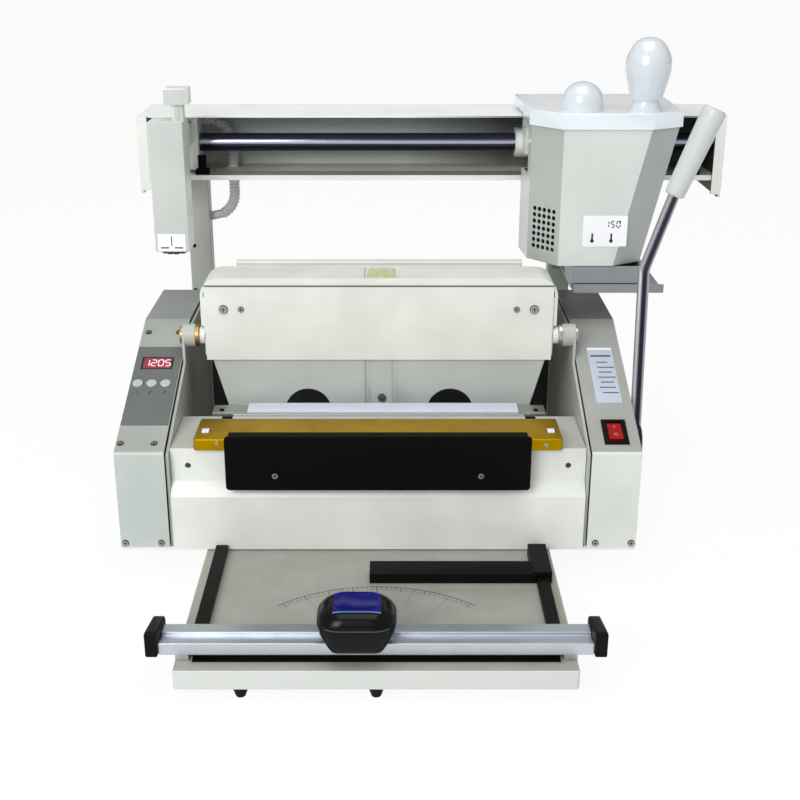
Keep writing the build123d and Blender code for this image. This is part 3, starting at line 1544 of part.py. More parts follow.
nodes = {
    "base_plate": make_base(),
    "side_frames": make_side_frames(),
    "front_panel": make_front_panel(),
    "deck_plate": make_deck(),
    "rear_panel": make_rear_panel(),
    "left_housing": make_left_housing(),
    "right_housing": make_right_housing(),
    "rubber_feet": make_feet(),
    "rear_nip_bar": make_back_nip(),
    "nip_strip": make_nip_strip(),
    "guide_plate": make_guide_plate(),
    "front_nip_bar": make_front_nip(),
    "nip_lugs": make_nip_lugs(),
    "lever_shaft": make_lever_shaft(),
    "lever_rod": make_lever_rod(),
    "lever_grip": make_lever_grip(),
    "clamp_cover": make_clamp_cover(),
    "clamp_front": make_clamp_front(),
    "level_vial": make_vial(),
    "clamp_screws": make_clamp_screws(),
    "jaw_frame": [make_jaw_frame(), *make_trunnions()],
    "shaft_bushes": make_bushes(),
    "moving_jaw": make_moving_jaw(),
    "jaw_screw": make_jaw_screw(),
    "columns": make_columns(),
    "beam_channel": [make_beam(), *make_end_plates()],
    "guide_rod": make_guide_rod(),
    "metering_chain": make_chain(),
    "chain_anchors": make_anchors(),
    "cable_conduit": make_conduit(),
    "pot_casing": make_pot_casing(),
    "glue_tank": make_glue_tank(),
    "glue_roller": make_glue_roller(),
    "roller_belt": make_belt(),
    "chain_sprocket": make_sprocket(),
    "pot_carriage": make_pot_carriage(),
    "pot_lid": make_lid(),
    "lid_knobs": make_knobs(),
    "drip_tray": make_drip_tray(),
    "mill_housing": make_mill_housing(),
    "mill_motor": make_mill_motor(),
    "mill_cutter": make_cutter(),
    "mill_carriage": make_mill_carriage(),
    "control_panel": make_control_panel(),
    "display_module": make_display(),
    "button_left": make_button(0),
    "button_middle": make_button(1),
    "button_right": make_button(2),
    "switch_bezel": make_switch_bezel(),
    "switch_rocker": make_rocker(),
    "power_inlet": make_inlet(),
    "casing_screws": make_casing_screws(),
    "trimmer_board": make_board(),
    "board_strips": make_board_strips(),
    "trimmer_rail": make_rail(),
    "rail_caps": make_rail_caps(),
    "head_base": make_head_base(),
    "head_cap": make_head_cap(),
    "trim_blade": make_blade(),
    "paper_gauge": make_gauge(),
}

# Move everything so that the origin is at the bottom centre of the machine.
every_solid = [solid for shape in nodes.values() for part in as_list(shape) for solid in part.solids()]
box_all = Compound(every_solid).bounding_box()
origin_x = (box_all.min.X + box_all.max.X) / 2
origin_y = (box_all.min.Y + box_all.max.Y) / 2
home = Pos(-origin_x, -origin_y, 0)

os.makedirs("parts", exist_ok=True)
for name, shape in nodes.items():
    solids = [home * solid for part in as_list(shape) for solid in part.solids()]
    export_step(Compound(solids) if len(solids) > 1 else solids[0], f"parts/{name}.step")
print(len(nodes), "nodes; origin at", round(origin_x, 3), round(origin_y, 3))
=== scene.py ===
# %% [markdown]
# # A desktop perfect binder
# The machine glues a book's spine: the sheets stand in a clamp, a milling unit and a glue pot slide
# over them on a rod, then the clamp turns over and a nip on the deck presses the cover round the spine.
# A small sheet trimmer stands in front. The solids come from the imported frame, which fixes every size.
# This script gives each of them its edges and its finish, and adds the small things that show close up.

# %% Load the frame
import json
import math

import bmesh
import bpy
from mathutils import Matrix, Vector
from mathutils.bvhtree import BVHTree


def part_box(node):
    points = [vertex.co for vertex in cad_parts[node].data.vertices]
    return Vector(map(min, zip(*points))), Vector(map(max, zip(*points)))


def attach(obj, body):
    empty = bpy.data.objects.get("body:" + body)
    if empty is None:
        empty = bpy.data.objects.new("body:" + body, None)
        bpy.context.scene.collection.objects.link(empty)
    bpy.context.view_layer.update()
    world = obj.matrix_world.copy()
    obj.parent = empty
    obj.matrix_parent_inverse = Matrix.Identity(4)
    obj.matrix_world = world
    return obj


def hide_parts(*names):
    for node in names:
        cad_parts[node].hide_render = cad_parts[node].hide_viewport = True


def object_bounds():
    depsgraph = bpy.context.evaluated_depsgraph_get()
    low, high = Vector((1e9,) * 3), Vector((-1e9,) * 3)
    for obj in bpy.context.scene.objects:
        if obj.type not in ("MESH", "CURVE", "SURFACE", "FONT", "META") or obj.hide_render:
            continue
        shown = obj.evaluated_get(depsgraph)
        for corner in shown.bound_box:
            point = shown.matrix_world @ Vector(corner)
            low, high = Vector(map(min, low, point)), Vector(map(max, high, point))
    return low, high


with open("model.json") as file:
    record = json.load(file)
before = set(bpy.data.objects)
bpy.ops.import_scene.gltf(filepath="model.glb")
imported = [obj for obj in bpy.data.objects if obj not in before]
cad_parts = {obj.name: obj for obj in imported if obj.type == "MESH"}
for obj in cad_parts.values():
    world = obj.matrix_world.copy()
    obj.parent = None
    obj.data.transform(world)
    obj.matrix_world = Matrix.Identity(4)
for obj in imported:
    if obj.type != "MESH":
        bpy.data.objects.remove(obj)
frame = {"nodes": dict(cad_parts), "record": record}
cad_low, cad_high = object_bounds()
body_of_node = {}
for body_name, members in frame["record"]["behaviour"]["bodies"].items():
    for member in members:
        body_of_node[member] = body_name
slot_of_node = {row["node"]: row["material_slot"] for row in frame["record"]["subparts"]}

# %% [markdown]
# ## One set of coordinates
# A maker measures from the body: X from its middle, Y from its front face and Z from the desk, in
# millimetres. The frame is in metres round the machine's bottom centre, so one function turns the first
# into the second, and it takes the body's place from the frame instead of from a remembered number.

# %% Places on the body
base_low, base_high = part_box("base_plate")
panel_low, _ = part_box("front_panel")
body_middle = (base_low.x + base_high.x) / 2
body_front = panel_low.y
MM = 0.001


def place(x, y, z):
    """A point in the body's millimetres, as metres in the row frame."""
    return Vector((body_middle + x * MM, body_front + y * MM, z * MM))


print("body front at", round(body_front, 4), "middle at", round(body_middle, 4))

# %% [markdown]
# ## The camera
# The photograph looks down on the machine by 21 degrees, straight from the front, from a little over a
# metre away. Its optical axis meets the picture ten pixels left of the middle. The camera could be turned
# for that, but then the beam would slope in the picture, so the lens is shifted instead.

# %% Camera
picture_width = 800
focal_pixels = 1240
axis_offset = 10
looks_down = 21
eye = place(12.7, -1204.0, 670.0)
camera_data = bpy.data.cameras.new("photograph_view")
camera_data.sensor_width = 36.0
camera_data.lens = focal_pixels / picture_width * camera_data.sensor_width
camera_data.shift_x = axis_offset / picture_width
camera_data.clip_start = 0.05
camera_data.clip_end = 50.0
camera = bpy.data.objects.new("photograph_view", camera_data)
camera.location = eye
camera.rotation_euler = (math.radians(90 - looks_down), 0.0, 0.0)
bpy.context.scene.collection.objects.link(camera)
bpy.context.scene.camera = camera
bpy.context.scene.view_settings.view_transform = "Standard"
print("lens", round(camera_data.lens, 2), "mm")

# %% [markdown]
# ## Shader arithmetic
# Every finish below is a node tree. Such a tree could be built node by node, but it is easier to read as a
# formula. `Signal` wraps one socket, so that `1 - mask * 0.3` adds the Math nodes by itself.

# %% Signals


class Signal:
    """A number that changes over a surface, with the usual signs of arithmetic."""

    def __init__(self, finish, socket):
        self.finish = finish
        self.socket = socket

    def _math(self, operation, first, second):
        return self.finish.put("ShaderNodeMath", {"operation": operation}, {0: first, 1: second})

    def __add__(self, other):
        return self._math("ADD", self, other)

    def __radd__(self, other):
        return self._math("ADD", other, self)

    def __sub__(self, other):
        return self._math("SUBTRACT", self, other)

    def __rsub__(self, other):
        return self._math("SUBTRACT", other, self)

    def __mul__(self, other):
        return self._math("MULTIPLY", self, other)

    def __rmul__(self, other):
        return self._math("MULTIPLY", other, self)

    def __gt__(self, other):
        return self._math("GREATER_THAN", self, other)

    def __lt__(self, other):
        return self._math("LESS_THAN", self, other)


print("signals ready")

# %% [markdown]
# ### One material
# `Finish` holds one material. Its `put` makes any node from its type, its settings and its sockets. The short
# methods after it are the few things that nearly every finish asks for: the place on the piece, how far that
# is from a line, cloudy noise, and a bump.

# %% Finishes


def set_stops(ramp, stops):
    """Sets a colour ramp's stops from (position, colour) pairs."""
    while len(ramp.elements) < len(stops):
        ramp.elements.new(0.5)
    for element, (position, colour) in zip(ramp.elements, stops):
        element.position = position
        element.color = colour


class Finish:
    """One material: a Principled shader and the nodes that feed it."""

    def __init__(self, name, roughness=0.5, metallic=0.0, coat=0.0):
        self.material = bpy.data.materials.new(name)
        self.material.use_nodes = True
        self.tree = self.material.node_tree
        self.shader = next(n for n in self.tree.nodes if n.type == "BSDF_PRINCIPLED")
        self.shader.inputs["Roughness"].default_value = roughness
        self.shader.inputs["Metallic"].default_value = metallic
        self.shader.inputs["Coat Weight"].default_value = coat
        self.shader.inputs["Coat Roughness"].default_value = 0.12

    def put(self, kind, settings, sockets, output=0):
        """Adds a node, sets it up, joins its sockets and gives back one of its outputs."""
        node = self.tree.nodes.new(kind)
        for key, value in settings.items():
            if key == "stops":
                set_stops(node.color_ramp, value)
            else:
                setattr(node, key, value)
        for key, value in sockets.items():
            if isinstance(value, Signal):
                self.tree.links.new(value.socket, node.inputs[key])
            else:
                node.inputs[key].default_value = value
        return Signal(self, node.outputs[output])

    def feed(self, socket, value):
        """Joins a signal to the shader, or sets the shader's own socket."""
        if isinstance(value, Signal):
            self.tree.links.new(value.socket, self.shader.inputs[socket])
        else:
            self.shader.inputs[socket].default_value = value

    def spot(self):
        """The point on the piece, in metres."""
        return self.put("ShaderNodeTexCoord", {}, {}, "Object")

    def axis(self, letter):
        """One coordinate of that point."""
        return self.put("ShaderNodeSeparateXYZ", {}, {0: self.spot()}, letter)

    def facing(self, letter):
        """How much the surface looks along an axis, from -1 to 1."""
        normal = self.put("ShaderNodeNewGeometry", {}, {}, "Normal")
        return self.put("ShaderNodeSeparateXYZ", {}, {0: normal}, letter)

    def away(self, signal, target=0.0):
        """How far a signal is from a value, to either side."""
        offset = signal - target if target else signal
        return self.put("ShaderNodeMath", {"operation": "ABSOLUTE"}, {0: offset})

    def at_most_one(self, signal):
        """A sum of masks, held at one where they overlap."""
        return self.put("ShaderNodeMath", {"operation": "MINIMUM"}, {0: signal, 1: 1.0})

    def noise(self, size_mm, detail=3.0, stretch=(1.0, 1.0, 1.0), roughness=0.5):
        """Cloudy noise whose blobs are about size_mm across, drawn out along an axis if asked."""
        scaled = self.put("ShaderNodeMapping", {}, {"Vector": self.spot(), "Scale": stretch})
        inputs = {"Vector": scaled, "Scale": 1 / (size_mm * MM), "Detail": detail, "Roughness": roughness}
        return self.put("ShaderNodeTexNoise", {}, inputs, 0)

    def ramp(self, signal, low, high, start=0.0, end=1.0):
        """Maps low..high of a signal onto start..end, held at both ends."""
        inputs = {"Value": signal, "From Min": low, "From Max": high, "To Min": start, "To Max": end}
        return self.put("ShaderNodeMapRange", {"clamp": True}, inputs)

    def mix(self, factor, first, second):
        """Mixes two colours."""
        return self.put("ShaderNodeMix", {"data_type": "RGBA"}, {0: factor, 6: first, 7: second}, 2)

    def bump(self, height, depth_mm, strength):
        """A fine relief that only the light sees."""
        inputs = {"Strength": strength, "Distance": depth_mm * MM, "Height": height}
        self.feed("Normal", self.put("ShaderNodeBump", {}, inputs))


print("finishes can be made")

# %% [markdown]
# ### Colours
# A colour is read off a picture as three levels up to 255, and a shader wants linear light, so `shade` undoes
# the picture's curve. Typing linear numbers would work too, but nobody can see a colour in them.

# %% Colours


def shade(red, green, blue):
    """A colour as a picture shows it, 0 to 255, as the linear colour that a shader wants."""
    linear = []
    for level in (red, green, blue):
        part = level / 255
        linear.append(part / 12.92 if part <= 0.04045 else ((part + 0.055) / 1.055) ** 2.4)
    return (*linear, 1.0)


def scaled_shade(colour, factor):
    """A darker or lighter version of a colour."""
    return (*(min(1.0, part * factor) for part in colour[:3]), 1.0)


print("mid grey in linear light:", round(shade(128, 128, 128)[0], 3))

# %% [markdown]
# ## Sheet metal paint
# The casing is folded steel with baked enamel. Such paint has a very fine orange peel, faint clouds where
# it was sprayed thicker, and a little dust on faces that point up. One flat colour would look like plastic,
# so three noises of different size give these, and only the finest one goes into the bump. Where two sheets
# of the clamp meet, a painted shade darkens the joint, and `seam` gives the level of that line.

# %% Painted finishes
grey_dust = shade(150, 146, 136)
# A painted shade for the joint between the clamp's sheets.
seam_shade = shade(84, 86, 84)


def enamel(
    name, colour, roughness=0.42, coat=0.15, peel_mm=0.9, peel=0.05, dust=0.06, clouds=0.045,
    shine=0.5, seam=None,
):
    """Baked enamel. shine is how much light its surface mirrors, 0.5 for common paint."""
    finish = Finish(name, coat=coat)
    finish.feed("Specular IOR Level", shine)
    cloud = finish.noise(60, 2.0)
    speck = finish.noise(2.2, 4.0)
    darker = scaled_shade(colour, 1 - clouds * 1.6)
    lighter = scaled_shade(colour, 1 + clouds)
    base = finish.mix(finish.ramp(cloud, 0.3, 0.7), darker, lighter)
    dusty = finish.ramp(finish.facing("Z"), 0.5, 1.0, 0.0, dust) * finish.ramp(speck, 0.35, 0.65)
    # The seam line is a painted shade: the shadow under the clamp cover's band.
    if seam:
        offset = finish.away(finish.axis("Z"), seam)
        base = finish.mix(finish.ramp(offset, 0.6 * MM, 1.8 * MM, 0.85, 0.0), base, seam_shade)
    finish.feed("Base Color", finish.mix(dusty, base, grey_dust))
    finish.feed("Roughness", finish.ramp(speck, 0.3, 0.7, roughness - 0.05, roughness + 0.07) + dusty * 0.3)
    finish.bump(finish.noise(peel_mm, 1.0), peel, 0.6)
    return finish.material


print("enamel ready")

# %% [markdown]
# ### The greys
# One machine has one paint, but a photograph shows each of its sides in its own light: the slopes and the
# flats behind them are darker, the left end is duller than the right and the lid is nearly white. The lamps
# give the most of that. The rest is painted light and painted shade in these colours, one for each group of
# faces: the tops of the beam and the lid are painted lighter, the other copies darker.

# %% Enamel colours
casing_colour = shade(222, 226, 219)
front_low, front_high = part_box("clamp_front")
seam_level = front_high.z + 0.4 * MM
casing_grey = enamel("casing_grey_enamel", casing_colour)
seam_grey = enamel("clamp_grey_enamel", casing_colour, seam=seam_level)
# Painted shade and painted light: copies of the one casing paint for faces in less or more light.
left_shaded_grey = enamel("left_grey_enamel", shade(184, 192, 187))
right_shaded_grey = enamel("right_grey_enamel", shade(213, 217, 211))
mill_shaded_grey = enamel("mill_grey_enamel", shade(190, 195, 191))
lower_shaded_grey = enamel("lower_grey_enamel", shade(188, 194, 189))
beam_lit_white = enamel("beam_white_enamel", shade(248, 250, 252))
slope_shaded_grey = enamel("slope_grey_enamel", shade(159, 163, 157), roughness=0.5)
top_shaded_grey = enamel("top_grey_enamel", shade(146, 150, 149), roughness=0.5)
right_slope_shaded_grey = enamel("right_slope_grey_enamel", shade(158, 160, 156), roughness=0.5)
right_top_shaded_grey = enamel("right_top_grey_enamel", shade(124, 126, 124), roughness=0.5)
# Painted shade: the inner sheets and the columns lie in less light.
inner_shaded_grey = enamel("inner_grey_enamel", shade(176, 180, 172), roughness=0.55)
pot_enamel = enamel("pot_enamel", shade(205, 212, 207), roughness=0.36, coat=0.3)
# Painted shade on the pot's two slanted corners.
pot_left_shaded_enamel = enamel("pot_left_shaded_enamel", shade(176, 180, 176), roughness=0.4, coat=0.2)
pot_right_shaded_enamel = enamel("pot_right_shaded_enamel", shade(166, 171, 168), roughness=0.4, coat=0.2)
lid_enamel = enamel("lid_white_enamel", shade(222, 231, 237), 0.2, 0.7, dust=0.02, clouds=0.02)
# Painted light on the lid's top.
lid_top_lit_enamel = enamel("lid_top_lit_enamel", shade(250, 252, 254), 0.2, 0.7, dust=0.0, clouds=0.01)
knob_gloss = enamel("knob_pearl_gloss", shade(208, 216, 222), 0.16, 0.9, dust=0.0, clouds=0.02)
powder_black = enamel("powder_black", shade(5, 5, 6), 0.6, 0.0, 0.6, 0.06, dust=0.0, shine=0.08)
# A painted shade for faces that look into the dark machine.
hollow_shade = enamel("hollow_dark_enamel", shade(60, 62, 62), roughness=0.7, coat=0.0)
tray_grey = enamel("tray_grey_enamel", shade(134, 138, 142), roughness=0.4)
print("materials with the enamels:", len(bpy.data.materials))

# %% [markdown]
# ## Bare metals
# Ground and turned steel is brushed along its length, so the noise that makes it is drawn out in that
# direction. Scratches could be drawn one by one, but noise that is stretched costs nothing and never
# repeats. Slower clouds of tarnish make the metal darker and a little rougher.

# %% Metal finishes


def metal(name, colour, roughness=0.3, stretch=(1.0, 1.0, 1.0), grain_mm=0.5, scratch=0.03, tarnish=0.12):
    """Bare metal with a grain drawn out along one axis."""
    finish = Finish(name, metallic=1.0)
    grain = finish.noise(grain_mm, 3.0, stretch)
    stain = finish.noise(25, 3.0)
    dull = scaled_shade(colour, 1 - tarnish)
    finish.feed("Base Color", finish.mix(finish.ramp(stain, 0.35, 0.7), colour, dull))
    rough = finish.ramp(grain, 0.3, 0.7, roughness - 0.06, roughness + 0.08)
    finish.feed("Roughness", rough + finish.ramp(stain, 0.5, 0.8, 0.0, 0.08))
    finish.bump(grain, scratch, 0.5)
    return finish.material


along_x = (0.04, 1.0, 1.0)
along_y = (1.0, 0.04, 1.0)
turned_steel = metal("turned_steel", shade(190, 190, 186), 0.32)
screw_steel = metal("screw_steel", shade(176, 176, 172), 0.3)
# A dark steel for the milling cutter, which shows as a dark band under the milling unit.
dark_steel = metal("dark_cutter_steel", shade(74, 72, 66), 0.42)
chain_steel = metal("chain_steel", shade(150, 148, 140), 0.4)
motor_steel = metal("motor_can", shade(90, 92, 96), 0.45)
rail_aluminium = metal("rail_aluminium", shade(205, 211, 219), 0.38, along_x, 0.35, 0.02, 0.05)
bush_brass = metal("bush_brass", shade(176, 142, 84), 0.34)
gold_anodised = metal("gold_anodised", shade(184, 146, 0), 0.42, along_x, 0.4, 0.02, 0.18)
ground_bar = metal("ground_nip_bar", shade(190, 192, 188), 0.4, along_x, 0.4, 0.02)
tank_steel = metal("tank_steel", shade(96, 98, 98), 0.5)
print("bare metals done")

# %% [markdown]
# ### Chrome
# The carriage rod and the lever are hard chromed. Chrome shows the room it stands in as long dark and bright
# bands. A white studio has nothing dark to show, and an empty room round the machine would be a lot to build
# for two bars, so the bands are painted reflections in the colour, by the way in which the round surface
# looks.

# %% Chromed bars


def chromed_round(name, letter, stops, roughness):
    """Chrome on a round bar, with painted reflections and a painted highlight. The stops run over how much its
    surface looks along one axis.
    """
    finish = Finish(name, metallic=0.75)
    bands = finish.put("ShaderNodeValToRGB", {"stops": stops}, {0: finish.facing(letter) * 0.5 + 0.5})
    finish.feed("Base Color", bands)
    line = finish.noise(0.3, 3.0, along_x if letter == "Z" else along_y)
    finish.feed("Roughness", finish.ramp(line, 0.3, 0.7, roughness - 0.03, roughness + 0.05))
    return finish.material


dark_reflection_band = shade(46, 47, 62)
# Painted reflections: a dark lower half, a bright highlight line and greyer bands above it.
rod_stops = [(0.0, shade(30, 31, 42)), (0.46, shade(52, 53, 72)), (0.53, shade(196, 196, 216))]
rod_stops += [(0.6, shade(214, 214, 232)), (0.68, shade(104, 104, 132)), (0.9, shade(96, 98, 124))]
rod_chrome = chromed_round("hard_chrome", "Z", rod_stops, 0.14)
lever_stops = [(0.0, shade(150, 152, 158)), (0.16, shade(226, 228, 232)), (0.36, dark_reflection_band)]
lever_stops += [(0.66, dark_reflection_band), (0.84, shade(170, 172, 178)), (1.0, shade(120, 122, 128))]
lever_chrome = chromed_round("lever_chrome", "X", lever_stops, 0.12)
print("chrome bands:", len(rod_stops), "and", len(lever_stops))

# %% [markdown]
# ## Plastics and rubber
# Moulded parts have a fine even grain with no direction. The pieces that hands touch are smoother and
# take a sheen, and rubber is the dullest of them. Black pieces mirror a white studio until they look grey,
# so they get less shine than real plastic has. Labels, ink and the lit digits are plain variants.

# %% Plastic finishes


def moulded(name, colour, roughness=0.45, coat=0.0, grain_mm=0.5, depth=0.04, clouds=0.03, shine=0.5):
    """Moulded plastic or rubber with a fine grain."""
    finish = Finish(name, coat=coat)
    finish.feed("Specular IOR Level", shine)
    grain = finish.noise(grain_mm, 2.0)
    cloud = finish.noise(35, 2.0)
    darker = scaled_shade(colour, 1 - clouds)
    lighter = scaled_shade(colour, 1 + clouds)
    finish.feed("Base Color", finish.mix(finish.ramp(cloud, 0.3, 0.7), darker, lighter))
    finish.feed("Roughness", finish.ramp(grain, 0.3, 0.7, roughness - 0.04, roughness + 0.06))
    finish.bump(grain, depth, 0.6)
    return finish.material


print("moulding ready")

# %% [markdown]
# ### The plastics in use
# The numbers after a colour are the roughness, the coat, the grain's size and its depth in millimetres. The
# display's digits are the only thing on the machine that gives light.

# %% Plastic colours
foot_rubber = moulded("foot_rubber", shade(12, 12, 13), 0.75, 0.0, 0.8, 0.1, shine=0.15)
belt_rubber = moulded("belt_rubber", shade(26, 26, 27), 0.7)
nylon_white = moulded("nylon_white", shade(228, 231, 238), 0.4, 0.1)
strip_white = moulded("strip_white", shade(200, 207, 221), 0.5)
grip_white = moulded("grip_white", shade(194, 200, 198), 0.38, 0.25, 0.6, 0.03)
black_plastic = moulded("black_plastic", shade(7, 7, 8), 0.5, 0.0, 0.7, 0.04, shine=0.12)
panel_film = moulded("panel_film", shade(98, 103, 101), 0.55, 0.0, 0.35, 0.05)
key_grey = moulded("key_grey", shade(178, 183, 186), 0.3, 0.3)
rocker_red = moulded("rocker_red", shade(150, 4, 8), 0.35, 0.0, 0.8, 0.0, shine=0.25)
conduit_white = moulded("conduit_white", shade(216, 214, 218), 0.5)
label_white = moulded("label_white", shade(240, 241, 244), 0.5, 0.0, 0.3, 0.01)
label_blue = moulded("label_blue", shade(186, 194, 208), 0.5, 0.0, 0.3, 0.01)
label_ink = moulded("label_ink", shade(84, 90, 112), 0.6, 0.0, 0.3, 0.01)
print_ink = moulded("print_ink", shade(40, 42, 48), 0.6, 0.0, 0.3, 0.01)
rocker_mark = moulded("rocker_mark", shade(226, 120, 118), 0.5, 0.0, 0.3, 0.0)
# Painted shade: the black of screw slots, rims and shanks.
shade_black = moulded("shade_black", shade(10, 10, 10), 0.8, 0.0, 0.3, 0.0, shine=0.15)
display_glow = moulded("display_glow", shade(252, 214, 222), 0.4, 0.0, 0.3, 0.0)
glow_shader = next(n for n in display_glow.node_tree.nodes if n.type == "BSDF_PRINCIPLED")
glow_shader.inputs["Emission Color"].default_value = shade(255, 196, 208)
glow_shader.inputs["Emission Strength"].default_value = 0.45
print("materials with the plastics:", len(bpy.data.materials))

# %% [markdown]
# ## The trimmer board's print
# The board is laminated and carries a cutting guide: one wide arc round a point at the rail, with ticks for
# the angles, a ruler and a faint grid. It could be hundreds of thin pieces, but it is ink, so it belongs in
# the material and not in the mesh. Distances are taken from Object coordinates, in metres, and so each line
# is a place whose distance from an arc or an angle is small.

# %% Board laminate
print_centre = place(-0.8, -226.5, 32)
arc_radius = 147.3 * MM
arc_half_angle = math.radians(42)


def board_laminate():
    """Grey-beige laminate with a printed arc, rays, a ruler and a grid on its top face."""
    finish = Finish("board_laminate", coat=0.1)
    x = finish.axis("X") - print_centre.x
    y = finish.axis("Y") - print_centre.y
    distance = finish.put("ShaderNodeMath", {"operation": "SQRT"}, {0: x * x + y * y})
    angle = finish.put("ShaderNodeMath", {"operation": "ARCTAN2"}, {0: y, 1: x})
    facing_up = finish.facing("Z") > 0.9

    def near(signal, target, half_width):
        return finish.away(signal, target) < half_width

    def every(signal, step, half_width):
        wrapped = finish.put("ShaderNodeMath", {"operation": "PINGPONG"}, {0: signal, 1: step / 2})
        return wrapped < half_width

    within = near(angle, math.pi / 2, arc_half_angle)
    ring = near(distance, arc_radius, 0.6 * MM) + near(distance, arc_radius - 6 * MM, 0.2 * MM)
    ticks = every(angle, math.radians(2), 0.0022) * near(distance, arc_radius - 2.5 * MM, 2.5 * MM)
    long_ticks = every(angle, math.radians(10), 0.0034) * near(distance, arc_radius - 4 * MM, 4 * MM)
    rays = every(angle, math.radians(15), 0.0012) * near(distance, arc_radius - 20 * MM, 20 * MM)
    grid = every(x, 20 * MM, 0.2 * MM) + every(y, 20 * MM, 0.2 * MM)
    ruler = every(x, 5 * MM, 0.3 * MM) * near(y, 42.5 * MM, 3 * MM)
    ruler = ruler + every(x, 10 * MM, 0.3 * MM) * near(y, 44 * MM, 4.5 * MM)
    strong = finish.at_most_one((ring + ticks + long_ticks + rays) * within + ruler)
    faint = finish.at_most_one(grid)
    cloud = finish.noise(40, 3.0)
    laminate = finish.mix(finish.ramp(cloud, 0.3, 0.7), shade(149, 149, 140), shade(159, 159, 151))
    inked = finish.mix(faint * 0.16 * facing_up, laminate, shade(70, 84, 110))
    inked = finish.mix(strong * 0.9 * facing_up, inked, shade(52, 58, 80))
    rim = finish.mix(finish.away(finish.facing("X")) > 0.9, shade(200, 203, 199), shade(16, 16, 17))
    finish.feed("Base Color", finish.mix(facing_up, rim, inked))
    fine = finish.noise(0.8, 2.0)
    finish.feed("Roughness", finish.ramp(fine, 0.3, 0.7, 0.42, 0.52))
    finish.bump(fine, 0.03, 0.5)
    return finish.material


board_finish = board_laminate()
print("board print centred at", [round(v, 4) for v in print_centre])

# %% [markdown]
# ## Dressing the solids
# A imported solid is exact, but its edges are knife sharp and its triangles are loose. A copy of its mesh is
# merged, flat areas are joined into single faces, and a live Bevel rounds every edge by what a folded or
# machined piece has. Cutting the bevels into the mesh by hand would give the same picture, but a modifier
# can be changed later. The copy takes the solid's place and rides on the same body.

# %% Dress a solid


def add_piece(name, mesh, body, finishes, slot=None):
    """Makes an object of a mesh, gives it its finishes and lets it ride on a body."""
    piece = bpy.data.objects.new(name, mesh)
    bpy.context.scene.collection.objects.link(piece)
    for finish in finishes:
        mesh.materials.append(finish)
    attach(piece, body)
    return piece


def smooth(mesh, degrees):
    """Smooth shading that stays sharp at real edges."""
    mesh.polygons.foreach_set("use_smooth", [True] * len(mesh.polygons))
    mesh.set_sharp_from_angle(angle=math.radians(degrees))


def round_edges(piece, width_mm, degrees):
    """A live Bevel on every edge that turns by more than some degrees."""
    bevel = piece.modifiers.new("rounded_edges", "BEVEL")
    bevel.width = width_mm * MM
    bevel.segments = 2
    bevel.limit_method = "ANGLE"
    bevel.angle_limit = math.radians(degrees)
    bevel.harden_normals = True
    bevel.use_clamp_overlap = True


def dress(node, finishes, edge_mm, pick=None, degrees=35):
    """A merged copy of a solid with rounded edges. pick says which finish a face takes."""
    work = bmesh.new()
    work.from_mesh(frame["nodes"][node].data)
    bmesh.ops.remove_doubles(work, verts=work.verts, dist=2e-6)
    bmesh.ops.dissolve_limit(work, angle_limit=math.radians(0.4), verts=work.verts, edges=work.edges)
    for face in work.faces:
        face.material_index = pick(face) if pick else 0
    mesh = bpy.data.meshes.new(node + "_dressed")
    work.to_mesh(mesh)
    work.free()
    smooth(mesh, degrees)
    piece = add_piece(node + "_dressed", mesh, body_of_node[node], finishes, slot_of_node[node])
    if edge_mm:
        round_edges(piece, edge_mm, degrees)
    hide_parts(node)


print("dressing ready")

# %% [markdown]
# ## Which face takes which finish
# Some solids need more than one finish, because their sides lie in different light or are of different
# stuff. A `pick` looks at one face, where it is and which way it looks, and gives the number of its finish.

# %% Picks for housings, beam and clamp


def housing_face(face):
    """The slope is painted a darker grey and the flat behind it darker still, as painted shade."""
    if face.normal.z > 0.99:
        return 2
    return 1 if face.normal.z > 0.9 else 0


def by_direction(rules):
    """A pick by where a face looks. Rule 1, 2 and on give finish 1, 2 and on, and any other face gets 0."""

    def pick(face):
        for index, (direction, least) in enumerate(rules, 1):
            if face.normal.dot(Vector(direction)) > least:
                return index
        return 0

    return pick


beam_low, beam_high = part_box("beam_channel")


def clamp_front_face(face):
    """The clamp's lower sheet stands in the shade of the upper one, so it takes a painted shade."""
    middle = face.calc_center_median()
    return 1 if face.normal.y < -0.5 and middle.y > front_low.y + 4 * MM else 0


def beam_face(face):
    """The beam's top is painted light, nearly white. No light reaches the underside of it, and little the
    back: the underside and the right end's inner face take a painted shade.
    """
    middle = face.calc_center_median()
    inside = beam_low.y + 4 * MM < middle.y < beam_high.y - 1 * MM
    if face.normal.z < -0.9 and middle.z > beam_high.z - 20 * MM and inside:
        return 2
    if face.normal.y < -0.9 and inside and middle.z > beam_low.z + 30 * MM:
        return 1
    if face.normal.x < -0.9 and middle.x > beam_high.x - 20 * MM:
        return 2
    if face.normal.z > 0.9 and middle.z > beam_high.z - 6 * MM:
        return 3
    return 0


def inner_face(face):
    """The side of a casing sheet that looks into the dark machine, which takes a painted shade."""
    return 1 if face.normal.y < -0.9 else 0


def right_side(face):
    """The bush on the left is brass and the one on the right is steel."""
    return 1 if face.calc_center_median().x > body_middle else 0


print("beam from", [round(v, 4) for v in beam_low], "to", [round(v, 4) for v in beam_high])
